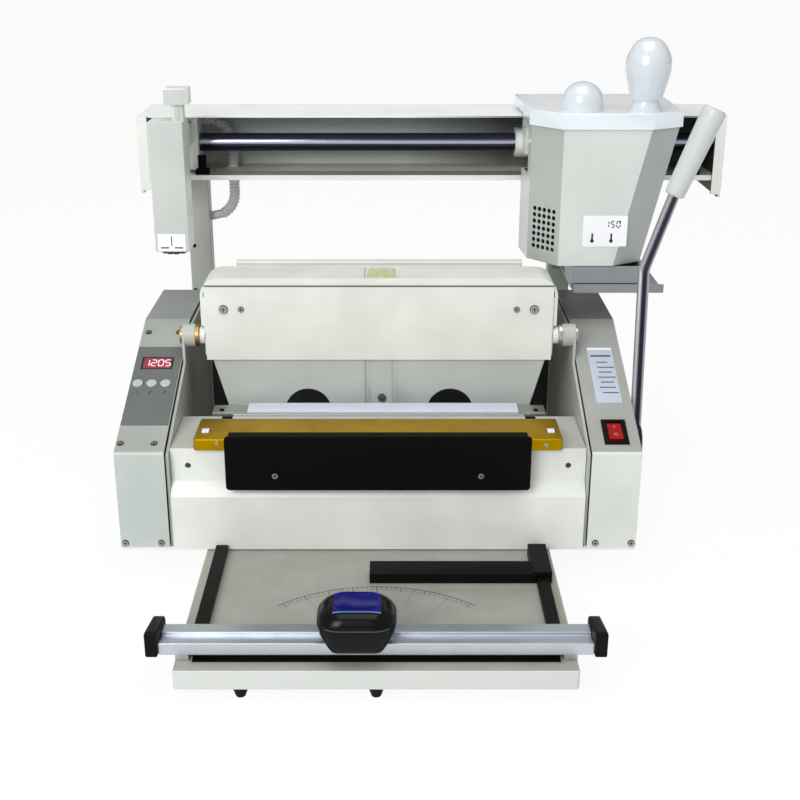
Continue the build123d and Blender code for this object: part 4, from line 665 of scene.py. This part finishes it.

# %% [markdown]
# ### Screws
# A cross slot is only dark because no light gets in. On a head of a few pixels that is most of what one
# sees, so the slot, the rim and the shank are painted black as shade and only the flat of the head is steel.
# A node holds many screws that look different ways. The solids don't touch, so each screw is all that can be
# reached from one of its corners, and its axis is the direction that most of its flat area looks in.

# %% A pick for screws


def screw_faces(node):
    """A pick for a node of screws: only the flat top of each head gets the first finish, and the rest a
    painted shade.
    """
    work = bmesh.new()
    work.from_mesh(frame["nodes"][node].data)
    bmesh.ops.remove_doubles(work, verts=work.verts, dist=2e-6)
    waiting = set(work.verts)
    heads = []
    while waiting:
        reached = [waiting.pop()]
        for vertex in reached:
            for edge in vertex.link_edges:
                other = edge.other_vert(vertex)
                if other in waiting:
                    waiting.discard(other)
                    reached.append(other)
        middle = sum((vertex.co for vertex in reached), Vector()) / len(reached)
        side = 1.0 if middle.x > body_middle else -1.0
        area = {}
        for face in {face for vertex in reached for face in vertex.link_faces}:
            way = tuple(round(part, 2) for part in face.normal)
            area[way] = area.get(way, 0.0) + face.calc_area()
        normal = Vector(max(area, key=area.get)).normalized()
        if normal.dot(Vector((side, -1.0, 1.0))) < 0:
            normal = -normal
        heads.append((middle, normal, max(vertex.co.dot(normal) for vertex in reached)))
    work.free()

    def pick(face):
        centre = face.calc_center_median()
        _, normal, level = min(heads, key=lambda head: (head[0] - centre).length)
        flat = face.normal.dot(normal) > 0.99 and abs(centre.dot(normal) - level) < 0.1 * MM
        return 0 if flat else 1

    return pick


print("screws ready")

# %% [markdown]
# ## The solids, one by one
# Most solids take one finish. The last item of a row is how wide the edges are rounded, in millimetres: more
# on the moulded caps and the grip, less on thin sheet, and none where rounding would eat the piece.

# %% Solids with one finish
plain = [
    ("base_plate", casing_grey, 0.5),
    ("side_frames", inner_shaded_grey, 0.4),
    ("front_panel", casing_grey, 0.6),
    ("deck_plate", inner_shaded_grey, 0.3),
    ("rear_nip_bar", ground_bar, 0.4),
    ("nip_strip", strip_white, 0.0),
    ("guide_plate", powder_black, 0.5),
    ("front_nip_bar", gold_anodised, 0.3),
    ("nip_lugs", nylon_white, 0.6),
    ("lever_shaft", turned_steel, 0.4),
    ("clamp_cover", seam_grey, 0.9),
    ("jaw_frame", casing_grey, 0.5),
    ("moving_jaw", casing_grey, 0.5),
    ("jaw_screw", turned_steel, 0.3),
    ("columns", inner_shaded_grey, 1.2),
    ("guide_rod", rod_chrome, 0.6),
    ("chain_anchors", powder_black, 0.6),
    ("glue_tank", tank_steel, 0.3),
    ("glue_roller", turned_steel, 0.3),
    ("chain_sprocket", turned_steel, 0.1),
    ("pot_carriage", casing_grey, 0.5),
    ("drip_tray", tray_grey, 0.5),
    ("mill_motor", motor_steel, 0.5),
    ("mill_cutter", dark_steel, 0.15),
    ("mill_carriage", casing_grey, 0.8),
    ("control_panel", panel_film, 0.2),
    ("button_left", key_grey, 0.3),
    ("button_middle", key_grey, 0.3),
    ("button_right", key_grey, 0.3),
    ("switch_bezel", black_plastic, 0.4),
    ("switch_rocker", rocker_red, 0.7),
    ("power_inlet", black_plastic, 0.4),
    ("trimmer_board", board_finish, 0.6),
    ("board_strips", black_plastic, 0.4),
    ("trimmer_rail", rail_aluminium, 0.6),
    ("rail_caps", black_plastic, 1.6),
    ("head_base", black_plastic, 0.4),
    ("trim_blade", turned_steel, 0.1),
    ("paper_gauge", black_plastic, 0.8),
    ("rubber_feet", foot_rubber, 0.8),
    ("lever_rod", lever_chrome, 0.6),
    ("lever_grip", grip_white, 1.0),
    ("lid_knobs", knob_gloss, 0.8),
]
for node, finish, edge in plain:
    dress(node, [finish], edge)
print("solids with one finish:", len(plain))

# %% [markdown]
# ### The beam's inside and the pot
# The beam is a channel that is open to the front. Light falls on the lower part of its back and fades to the
# right, where the pot hangs before it, so its colour carries that as painted light and a painted shadow along
# X and Z. The pot is a bent sheet whose two slanted corners take a painted shade, and through its vents one
# looks into the dark, which is a painted shade on its inside.

# %% Solids with more finishes


def hollow_enamel():
    """Painted light and a painted shadow inside the beam: lit below and at the left, in the pot's shade at the
    right.
    """
    finish = Finish("hollow_grey_enamel", roughness=0.6)
    lit = finish.ramp(finish.axis("X") - body_middle, 30 * MM, 160 * MM, 1.0, 0.25)
    low_part = finish.ramp(finish.axis("Z") - beam_low.z, 26 * MM, 40 * MM, 1.0, 0.0)
    paint = finish.mix(low_part, shade(222, 230, 228), shade(238, 242, 234))
    finish.feed("Base Color", finish.mix(lit, shade(40, 42, 42), paint))
    return finish.material


dress("left_housing", [left_shaded_grey, slope_shaded_grey, top_shaded_grey], 1.0, housing_face)
dress("right_housing", [right_shaded_grey, right_slope_shaded_grey, right_top_shaded_grey], 1.0, housing_face)
dress("clamp_front", [seam_grey, lower_shaded_grey], 0.5, clamp_front_face)
pot_low, pot_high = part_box("pot_casing")
pot_middle = (pot_low + pot_high) / 2
pot_corner = by_direction([((-0.7071, -0.7071, 0.0), 0.85), ((0.7071, -0.7071, 0.0), 0.85)])


def pot_face(face):
    """The pot's two slanted corners take a painted shade, and its inside a darker painted shade."""
    outward = face.calc_center_median() - pot_middle
    outward.z = 0.0
    return 3 if face.normal.dot(outward) < -2 * MM else pot_corner(face)


dress("pot_casing", [pot_enamel, pot_left_shaded_enamel, pot_right_shaded_enamel, hollow_shade], 0.5, pot_face)
dress("pot_lid", [lid_enamel, lid_top_lit_enamel], 0.5, by_direction([((0.0, 0.0, 1.0), 0.95)]))
# The mill's front face takes a painted shade.
dress("mill_housing", [casing_grey, mill_shaded_grey], 0.7, by_direction([((0.0, -1.0, 0.0), 0.9)]))
dress("beam_channel", [casing_grey, hollow_enamel(), hollow_shade, beam_lit_white], 0.5, beam_face)
dress("rear_panel", [casing_grey, hollow_shade], 0.3, inner_face)
print("pot from", [round(v, 4) for v in pot_low], "to", [round(v, 4) for v in pot_high])

# %% [markdown]
# ### The vial, the screws and what keeps its own mesh
# The chain, the conduit and the belt have so many small faces that a bevel on them would never show, so
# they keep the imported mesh. The level vial is a clear block with green liquid. Glass would be slow to render
# and this one is 25 pixels wide, so it is a gloss with two tones and white ends.

# %% Vial, screws, chain
as_packed = (("metering_chain", chain_steel), ("cable_conduit", conduit_white), ("roller_belt", belt_rubber))
for node, finish in as_packed:
    kept = frame["nodes"][node]
    kept.data.materials.clear()
    kept.data.materials.append(finish)
dress("shaft_bushes", [bush_brass, turned_steel], 0.4, right_side)
for node in ("clamp_screws", "casing_screws"):
    dress(node, [screw_steel, shade_black], 0.0, screw_faces(node))
vial_low, vial_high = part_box("level_vial")


def vial_finish():
    """Green liquid in a clear block whose two ends are white."""
    finish = Finish("vial_block", coat=0.6)
    middle = (vial_low.x + vial_high.x) / 2
    end = finish.away(finish.axis("X"), middle) > (vial_high.x - vial_low.x) / 2 - 3.5 * MM
    cloud = finish.noise(6, 2.0)
    liquid = finish.mix(finish.ramp(cloud, 0.35, 0.65), shade(186, 198, 124), shade(214, 220, 158))
    finish.feed("Base Color", finish.mix(end, liquid, shade(228, 232, 228)))
    finish.feed("Roughness", finish.ramp(cloud, 0.3, 0.7, 0.12, 0.2))
    return finish.material


dress("level_vial", [vial_finish()], 0.2)

# %% [markdown]
# ## The cutting head's cap
# The palm grip is gloss black with a blue window let into its top, level with the black. A face of the mesh
# couldn't end where the window ends, so the material makes it from the distances to the window's middle.

# %% The cap and its window
cap_low, cap_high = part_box("head_cap")
window_middle = place(-17.6, -202.5, 80)
window_half = (22.0 * MM, 18.5 * MM)
ridge_level = cap_high.z - 13.5 * MM


def windowed_black():
    """Gloss black with a blue window, a painted highlight along the window's front and a painted highlight on
    a fine ridge below it.
    """
    finish = Finish("head_black_with_window", coat=0.08)
    finish.feed("Specular IOR Level", 0.14)
    across = finish.away(finish.axis("X"), window_middle.x)
    back = finish.axis("Y") - window_middle.y
    high = finish.axis("Z") > cap_high.z - 9 * MM
    window = (across < window_half[0]) * (finish.away(back) < window_half[1]) * high
    # A painted highlight along the window's front.
    window_highlight = window * (back < 1.3 * MM - window_half[1])
    fine = finish.noise(0.6, 2.0)
    # A painted highlight along the fine ridge.
    ridge = finish.away(finish.axis("Z"), ridge_level) < 0.35 * MM
    ridge = ridge * (across < 29 * MM) * (back < -window_half[1])
    black = finish.mix(ridge, shade(7, 7, 8), shade(84, 84, 90))
    glazed = finish.mix(window, black, shade(18, 20, 104))
    finish.feed("Base Color", finish.mix(window_highlight, glazed, shade(96, 150, 200)))
    finish.feed("Roughness", finish.ramp(fine, 0.3, 0.7, 0.2, 0.28) - window * 0.1)
    finish.bump(fine, 0.01, 0.5)
    return finish.material


dress("head_cap", [windowed_black()], 0.4, degrees=60)
print("cap from", [round(v, 4) for v in cap_low], "to", [round(v, 4) for v in cap_high])

# %% [markdown]
# ## Labels, digits and marks
# A label lies on a face. Its place could be typed in, but then it would float or sink when the machine
# changes, so a straight line from outside finds the face. The label's outlines are drawn in that plane, in
# millimetres to the right and up, and are extruded by a sheet's thickness.

# %% Flat pieces on a face
tree_of_node = {}


def land_on(node, start, direction):
    """Where a line from outside meets a solid, and which way that face looks."""
    if node not in tree_of_node:
        mesh = frame["nodes"][node].data
        corners = [vertex.co for vertex in mesh.vertices]
        tree_of_node[node] = BVHTree.FromPolygons(corners, [face.vertices[:] for face in mesh.polygons])
    spot, normal, _, _ = tree_of_node[node].ray_cast(start, direction)
    return spot, normal


def rounded_outline(width, height, radius, across=0.0, up=0.0):
    """A rectangle with round corners about a middle point."""
    points = []
    steps = 4
    for index, (side, end) in enumerate(((1, 1), (-1, 1), (-1, -1), (1, -1))):
        for step in range(steps + 1):
            angle = math.radians(90 * index + 90 * step / steps)
            a = across + side * (width / 2 - radius) + radius * math.cos(angle)
            points.append((a, up + end * (height / 2 - radius) + radius * math.sin(angle)))
    return points


def flat_piece(name, outlines, spot, normal, body, finish, slot, thickness, lift=0.0):
    """Closed outlines, given a thickness, on a face of the machine."""
    right = Vector((1.0, 0.0, 0.0))
    upward = normal.cross(right).normalized()
    work = bmesh.new()
    for outline in outlines:
        corners = [work.verts.new(spot + (right * a + upward * b + normal * lift) * MM) for a, b in outline]
        raised = bmesh.ops.extrude_face_region(work, geom=[work.faces.new(corners)], use_keep_orig=True)
        moved = [item for item in raised["geom"] if isinstance(item, bmesh.types.BMVert)]
        bmesh.ops.translate(work, verts=moved, vec=normal * thickness * MM)
    bmesh.ops.recalc_face_normals(work, faces=work.faces)
    mesh = bpy.data.meshes.new(name)
    work.to_mesh(mesh)
    work.free()
    add_piece(name, mesh, body, [finish], slot)


def bar(across, up, width, height):
    """A plain printed rule, from its left end and middle height."""
    x1 = across + width
    low, high = up - height / 2, up + height / 2
    return [(across, low), (x1, low), (x1, high), (across, high)]


print("flat pieces ready")

# %% [markdown]
# ### Digits and small marks
# A seven-segment digit is seven short bars with pointed ends. Text objects would bring a font's own shapes,
# while a display and a stencilled number both look like this. The bars are outlines for `flat_piece`.

# %% Digits
lit_segments = {"0": "abcdef", "1": "bc", "2": "abged", "3": "abgcd", "5": "afgcd"}


def digit_bars(text, height, thick, across=0.0, up=0.0, gap=None):
    """Seven-segment digits in a row about a middle point. gap is the room between two of them."""
    width = height * 0.52
    pitch = width + (gap or thick * 2.2)
    start = across - pitch * (len(text) - 1) / 2
    half_w = width / 2
    half_h = height / 2
    ends = {
        "a": ((-half_w, half_h), (half_w, half_h)), "g": ((-half_w, 0), (half_w, 0)),
        "d": ((-half_w, -half_h), (half_w, -half_h)), "f": ((-half_w, 0), (-half_w, half_h)),
        "b": ((half_w, 0), (half_w, half_h)), "e": ((-half_w, -half_h), (-half_w, 0)),
        "c": ((half_w, -half_h), (half_w, 0)),
    }
    bars = []
    for place_in_row, digit in enumerate(text):
        middle = start + place_in_row * pitch
        for letter in lit_segments[digit]:
            (a0, b0), (a1, b1) = ends[letter]
            along = Vector((a1 - a0, b1 - b0)).normalized()
            aside = Vector((-along.y, along.x)) * thick / 2
            first = Vector((middle + a0, up + b0)) + along * thick * 0.15
            last = Vector((middle + a1, up + b1)) - along * thick * 0.15
            inner_first = first + along * thick / 2
            inner_last = last - along * thick / 2
            corners = [first, inner_first - aside, inner_last - aside]
            corners += [last, inner_last + aside, inner_first + aside]
            bars.append([(corner.x, corner.y) for corner in corners])
    return bars


def round_outline(radius, across, up, steps):
    """A circle about a middle point."""
    points = []
    for step in range(steps):
        angle = math.tau * step / steps
        points.append((across + radius * math.cos(angle), up + radius * math.sin(angle)))
    return points


def gauge_mark(across, up, height):
    """A small mark like a thermometer: a stem over a bulb."""
    stem = rounded_outline(height * 0.2, height * 0.8, height * 0.09, across, up + height * 0.1)
    return [stem, round_outline(height * 0.2, across, up - height * 0.32, 14)]


print("digits:", " ".join(lit_segments))

# %% [markdown]
# ## What is printed on the machine
# Three cards are stuck on the machine: on the right slope, on the pot and on the milling unit. They carry
# plain rules and numbers. A card is a sheet of 0.2 mm. Its ink could be a second finish on the sheet, but a
# film of its own on top of it, lifted by as much, keeps its edges sharp from close up.

# %% Cards
downward = Vector((0.0, 0.0, -1.0))
backward = Vector((0.0, 1.0, 0.0))
slope_spot, slope_normal = land_on("right_housing", place(255.7, 121.2, 300), downward)
rule_rows = [
    (-11.5, 33.0, 23.0, 3.4), (-6.0, 21.5, 12.5, 2.0), (-6.5, 12.5, 19.5, 2.0), (-5.5, 4.0, 15.0, 2.0),
    (-7.5, -5.0, 20.0, 2.0), (-5.0, -13.5, 14.5, 2.0), (-7.5, -22.5, 18.0, 2.0), (-5.0, -31.5, 17.5, 2.0),
]
pot_marks = digit_bars("150", 7.0, 1.3, 8.5, 8.0)
for across in (-14.5, 7.5):
    pot_marks += gauge_mark(across, -8.0, 11.0)
pot_marks.append(round_outline(1.1, 16.8, 11.0, 10))
mill_marks = [bar(-13.0, -6.2, 9.5, 1.6), bar(3.5, -6.2, 9.5, 1.6), bar(-0.6, 2.0, 1.2, 11.0)]
pot_spot, pot_normal = land_on("pot_casing", place(260.5, 150.0, 339.5), backward)
mill_spot, mill_normal = land_on("mill_housing", place(-240.75, 150.0, 324.6), backward)
on_slope = (slope_spot, slope_normal, "body", "casing_paint")
on_pot = (pot_spot, pot_normal, "pot", "white_enamel")
on_mill = (mill_spot, mill_normal, "mill_head", "casing_paint")
ink_film = 0.05
sheet = (0.2, 0.0)
ink = (ink_film, 0.2)
card_pieces = (
    ("slope_card", on_slope, [rounded_outline(28.5, 97.0, 1.2)], label_blue, sheet),
    ("slope_card_band", on_slope, [bar(-13.8, 46.0, 27.6, 3.2)], label_white, ink),
    ("slope_card_rules", on_slope, [bar(*row) for row in rule_rows], label_ink, ink),
    ("pot_card", on_pot, [rounded_outline(51.0, 36.0, 0.8)], label_white, sheet),
    ("pot_card_marks", on_pot, pot_marks, print_ink, ink),
    ("mill_card", on_mill, [rounded_outline(32.0, 20.0, 0.6)], label_white, sheet),
    ("mill_card_marks", on_mill, mill_marks, print_ink, ink),
)
for name, (spot, normal, body, slot), outlines, finish, (thickness, lift) in card_pieces:
    flat_piece(name, outlines, spot, normal, body, finish, slot, thickness, lift)
print("cards at", [round(v, 4) for v in pot_spot], [round(v, 4) for v in slope_spot])

# %% [markdown]
# ## The display and the keys
# The display is a small module behind the control panel. Its window is dark red plastic in a black frame,
# and its digits are lit. The frame is a border in the material, because both lie in one plane. The three
# keys have their numbers below them, printed on the panel's film.

# %% Display and key numbers


def over(node):
    """A point over the middle of a solid."""
    low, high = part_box(node)
    return Vector(((low.x + high.x) / 2, (low.y + high.y) / 2, high.z + 50 * MM))


def highest_middle(node, normal):
    """The middle of the face of a solid that stands furthest out along a direction."""
    corners = [vertex.co for vertex in frame["nodes"][node].data.vertices]
    reach = max(corner.dot(normal) for corner in corners)
    outer = [corner for corner in corners if corner.dot(normal) > reach - 0.1 * MM]
    low = Vector([min(corner[i] for corner in outer) for i in range(3)])
    high = Vector([max(corner[i] for corner in outer) for i in range(3)])
    return (low + high) / 2, high - low


def display_finish(middle, width, height):
    """A dark red window with a black frame round it."""
    finish = Finish("display_window", coat=0.3)
    across = finish.away(finish.axis("X"), middle.x)
    along = finish.away(finish.axis("Y"), middle.y)
    inside = (across < (width / 2 - 2.2) * MM) * (along < (height / 2 - 2.4) * MM)
    fine = finish.noise(0.6, 2.0)
    finish.feed("Base Color", finish.mix(inside, shade(14, 12, 13), shade(146, 44, 64)))
    finish.feed("Roughness", finish.ramp(fine, 0.3, 0.7, 0.2, 0.26))
    return finish.material


display_spot, display_size = highest_middle("display_module", slope_normal)
slope_cosine = 0.937
window_width = display_size.x / MM
window_height = display_size.y / MM / slope_cosine
dress("display_module", [display_finish(display_spot, window_width, window_height)], 0.2)
glow = digit_bars("1205", window_height * 0.48, 1.3, 0.0, window_height * 0.02, 2.6)
flat_piece(
    "display_digits", glow, display_spot, slope_normal, "body", display_glow, "display_plastic", ink_film
)
below_key = Vector((0.0, -13.5 * MM, 0.0))
key_film = 0.06
for number, key in enumerate(("button_left", "button_middle", "button_right"), 1):
    spot, normal = land_on("control_panel", over(key) + below_key, downward)
    outlines = digit_bars(str(number), 5.0, 1.1)
    flat_piece("key_number_" + str(number), outlines, spot, normal, "body", print_ink, "panel_film", key_film)
print("display window", round(window_width, 1), "by", round(window_height, 1), "mm")

# %% [markdown]
# ## The switch's signs
# A mains rocker carries a line for on and a circle for off. They are printed, so they are as thin as ink,
# and they ride on the rocker, which tilts under them. A circle with a hole in it is no single outline, so it
# is made of short bars end to end.

# %% Signs on the rocker
rocker_low, rocker_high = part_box("switch_rocker")
sign_reach = (rocker_high.y - rocker_low.y) * 0.24
rocker_body, rocker_slot = body_of_node["switch_rocker"], slot_of_node["switch_rocker"]


def ring_bars(radius, thick, steps=20):
    """A printed circle, as short bars end to end."""
    bars = []
    for step in range(steps):
        corners = []
        for reach, turn in ((-0.5, 0), (0.5, 0), (0.5, 1), (-0.5, 1)):
            angle = math.tau * (step + turn) / steps
            size = radius + reach * thick
            corners.append((size * math.cos(angle), size * math.sin(angle)))
        bars.append(corners)
    return bars


for sign, way, outlines in (("on", 1, [bar(-0.45, 0.0, 0.9, 4.2)]), ("off", -1, ring_bars(1.9, 0.7))):
    above_sign = over("switch_rocker") + Vector((0.0, way * sign_reach, 0.0))
    spot, normal = land_on("switch_rocker", above_sign, downward)
    flat_piece("rocker_sign_" + sign, outlines, spot, normal, rocker_body, rocker_mark, rocker_slot, ink_film)
print("rocker signs", round(sign_reach / MM, 1), "mm from its middle")

# %% [markdown]
# ## Small screws
# The nip bars and the left column carry screws too small for the drawing. One head is a short drum with a
# rounded rim and a sunk socket. It starts as a circle, which is extruded, bevelled at its rim and inset, and
# the inset face is pushed down. The head is made upright at the origin and then turned onto its face.

# %% Small screw heads
screw_slot = slot_of_node["casing_screws"]


def small_screw(name, spot, normal, radius, height, finish):
    """A screw's head on a face, with a socket sunk in it. radius and height are in millimetres."""
    rounding = radius * 0.16 * MM
    wall = radius * 0.42 * MM
    socket_depth = height * 0.6 * MM
    work = bmesh.new()
    bmesh.ops.create_circle(work, cap_ends=True, segments=24, radius=radius * MM)
    raised = bmesh.ops.extrude_face_region(work, geom=list(work.faces), use_keep_orig=True)
    upper = [item for item in raised["geom"] if isinstance(item, bmesh.types.BMVert)]
    bmesh.ops.translate(work, verts=upper, vec=(0.0, 0.0, height * MM))
    rim = [edge for edge in work.edges if all(vertex.co.z > height * MM / 2 for vertex in edge.verts)]
    bmesh.ops.bevel(work, geom=rim, offset=rounding, segments=2, profile=0.5, affect="EDGES", material=-1)
    top = max(work.faces, key=lambda face: face.calc_center_median().z)
    bmesh.ops.inset_region(work, faces=[top], thickness=wall, depth=0.0)
    sunk = bmesh.ops.extrude_discrete_faces(work, faces=[top])
    floor_corners = list({vertex for face in sunk["faces"] for vertex in face.verts})
    bmesh.ops.translate(work, verts=floor_corners, vec=(0.0, 0.0, -socket_depth))
    turned = Vector((0.0, 0.0, 1.0)).rotation_difference(normal).to_matrix()
    bmesh.ops.rotate(work, verts=work.verts, matrix=turned)
    bmesh.ops.translate(work, verts=work.verts, vec=spot - normal * 0.1 * MM)
    bmesh.ops.recalc_face_normals(work, faces=work.faces)
    mesh = bpy.data.meshes.new(name)
    work.to_mesh(mesh)
    work.free()
    smooth(mesh, 40)
    add_piece(name, mesh, "body", [finish], screw_slot)


gold_places = (("left", -170.3, 156.2), ("right", 178.2, 154.2))
bar_places = (("left", -180.0), ("right", 180.0))
column_places = ((-227.8, 369.0), (-239.7, 282.5), (-241.5, 223.4))
for name, x, z in gold_places:
    spot, normal = land_on("front_nip_bar", place(x, -20.0, z), backward)
    small_screw("gold_screw_" + name, spot, normal, 2.4, 1.2, screw_steel)
for name, x in bar_places:
    spot, normal = land_on("rear_nip_bar", place(x, 120.0, 300.0), downward)
    small_screw("nip_bar_screw_" + name, spot, normal, 2.9, 1.2, black_plastic)
# The column's screws are black all over, in the same black as the painted shade in screw slots.
for number, (x, z) in enumerate(column_places, 1):
    spot, normal = land_on("columns", place(x, 300.0, z), backward)
    small_screw("column_screw_" + str(number), spot, normal, 2.4, 1.0, shade_black)
print("small screws:", len(gold_places) + len(bar_places) + len(column_places))

# %% [markdown]
# ## The floor
# The machine stands on a white floor that runs on without a horizon. A lit floor would never be quite
# white in the picture. So the camera, mirrors and glass see it as a glow, mixed with a little of the lit
# floor, and that little keeps the machine's shadow.

# %% Floor
floor_glow = 0.92
floor_reach = 30.0
white = (1.0, 1.0, 1.0, 1.0)


def white_floor():
    """A floor that looks white and still shows the shadow on it."""
    finish = Finish("studio_floor", roughness=0.9)
    finish.feed("Base Color", (0.95, 0.95, 0.95, 1.0))
    path = finish.put("ShaderNodeLightPath", {}, {}, "Is Camera Ray")
    mirrored = finish.put("ShaderNodeLightPath", {}, {}, "Is Glossy Ray")
    through = finish.put("ShaderNodeLightPath", {}, {}, "Is Transmission Ray")
    seen = finish.at_most_one(path + mirrored + through)
    glow = finish.put("ShaderNodeEmission", {}, {"Color": white, "Strength": 1.0})
    output = next(n for n in finish.tree.nodes if n.type == "OUTPUT_MATERIAL")
    lit = Signal(finish, finish.shader.outputs[0])
    mixed = finish.put("ShaderNodeMixShader", {}, {0: seen * floor_glow, 1: lit, 2: glow})
    finish.tree.links.new(mixed.socket, output.inputs["Surface"])
    return finish.material


work = bmesh.new()
bmesh.ops.create_grid(work, x_segments=1, y_segments=1, size=floor_reach)
floor_mesh = bpy.data.meshes.new("studio_floor")
work.to_mesh(floor_mesh)
work.free()
floor = bpy.data.objects.new("studio_floor", floor_mesh)
bpy.context.scene.collection.objects.link(floor)
floor_mesh.materials.append(white_floor())
print("floor reaches", floor_reach, "m each way")

# %% [markdown]
# ## The sky and the lamps
# An even pale sky fills the shadows. It is plain white for the camera and through glass. One broad lamp
# stands in front, high and to the left, and makes the left faces lighter than the right ones. A weaker one
# hangs over the machine, for the faces that point up.

# %% Sky and lamps
sky_strength = 0.46
world = bpy.data.worlds.new("studio_sky")
bpy.context.scene.world = world
world.use_nodes = True
sky = world.node_tree
sky_light = next(n for n in sky.nodes if n.type == "BACKGROUND")
sky_light.inputs["Color"].default_value = white
sky_path = sky.nodes.new("ShaderNodeLightPath")
sky_seen = sky.nodes.new("ShaderNodeMath")
sky_seen.operation = "MAXIMUM"
sky.links.new(sky_path.outputs["Is Camera Ray"], sky_seen.inputs[0])
sky.links.new(sky_path.outputs["Is Transmission Ray"], sky_seen.inputs[1])
sky_level = sky.nodes.new("ShaderNodeMapRange")
sky_level.inputs["To Min"].default_value = sky_strength
sky_level.inputs["To Max"].default_value = 1.0
sky.links.new(sky_seen.outputs[0], sky_level.inputs["Value"])
sky.links.new(sky_level.outputs[0], sky_light.inputs["Strength"])


def soft_lamp(name, place_at, target, size, power):
    """A square area lamp turned towards a point."""
    data = bpy.data.lights.new(name, "AREA")
    data.shape = "SQUARE"
    data.size = size
    data.energy = power
    lamp = bpy.data.objects.new(name, data)
    lamp.location = place_at
    lamp.rotation_euler = (Vector(target) - Vector(place_at)).to_track_quat("-Z", "Y").to_euler()
    bpy.context.scene.collection.objects.link(lamp)


middle = (cad_low + cad_high) / 2
soft_lamp("front_lamp", middle + Vector((-1.1, -2.2, 1.3)), middle, size=1.4, power=46.0)
soft_lamp("top_lamp", middle + Vector((0.0, -0.3, 2.2)), middle, size=1.8, power=22.0)
print("lamps:", len(bpy.data.lights))
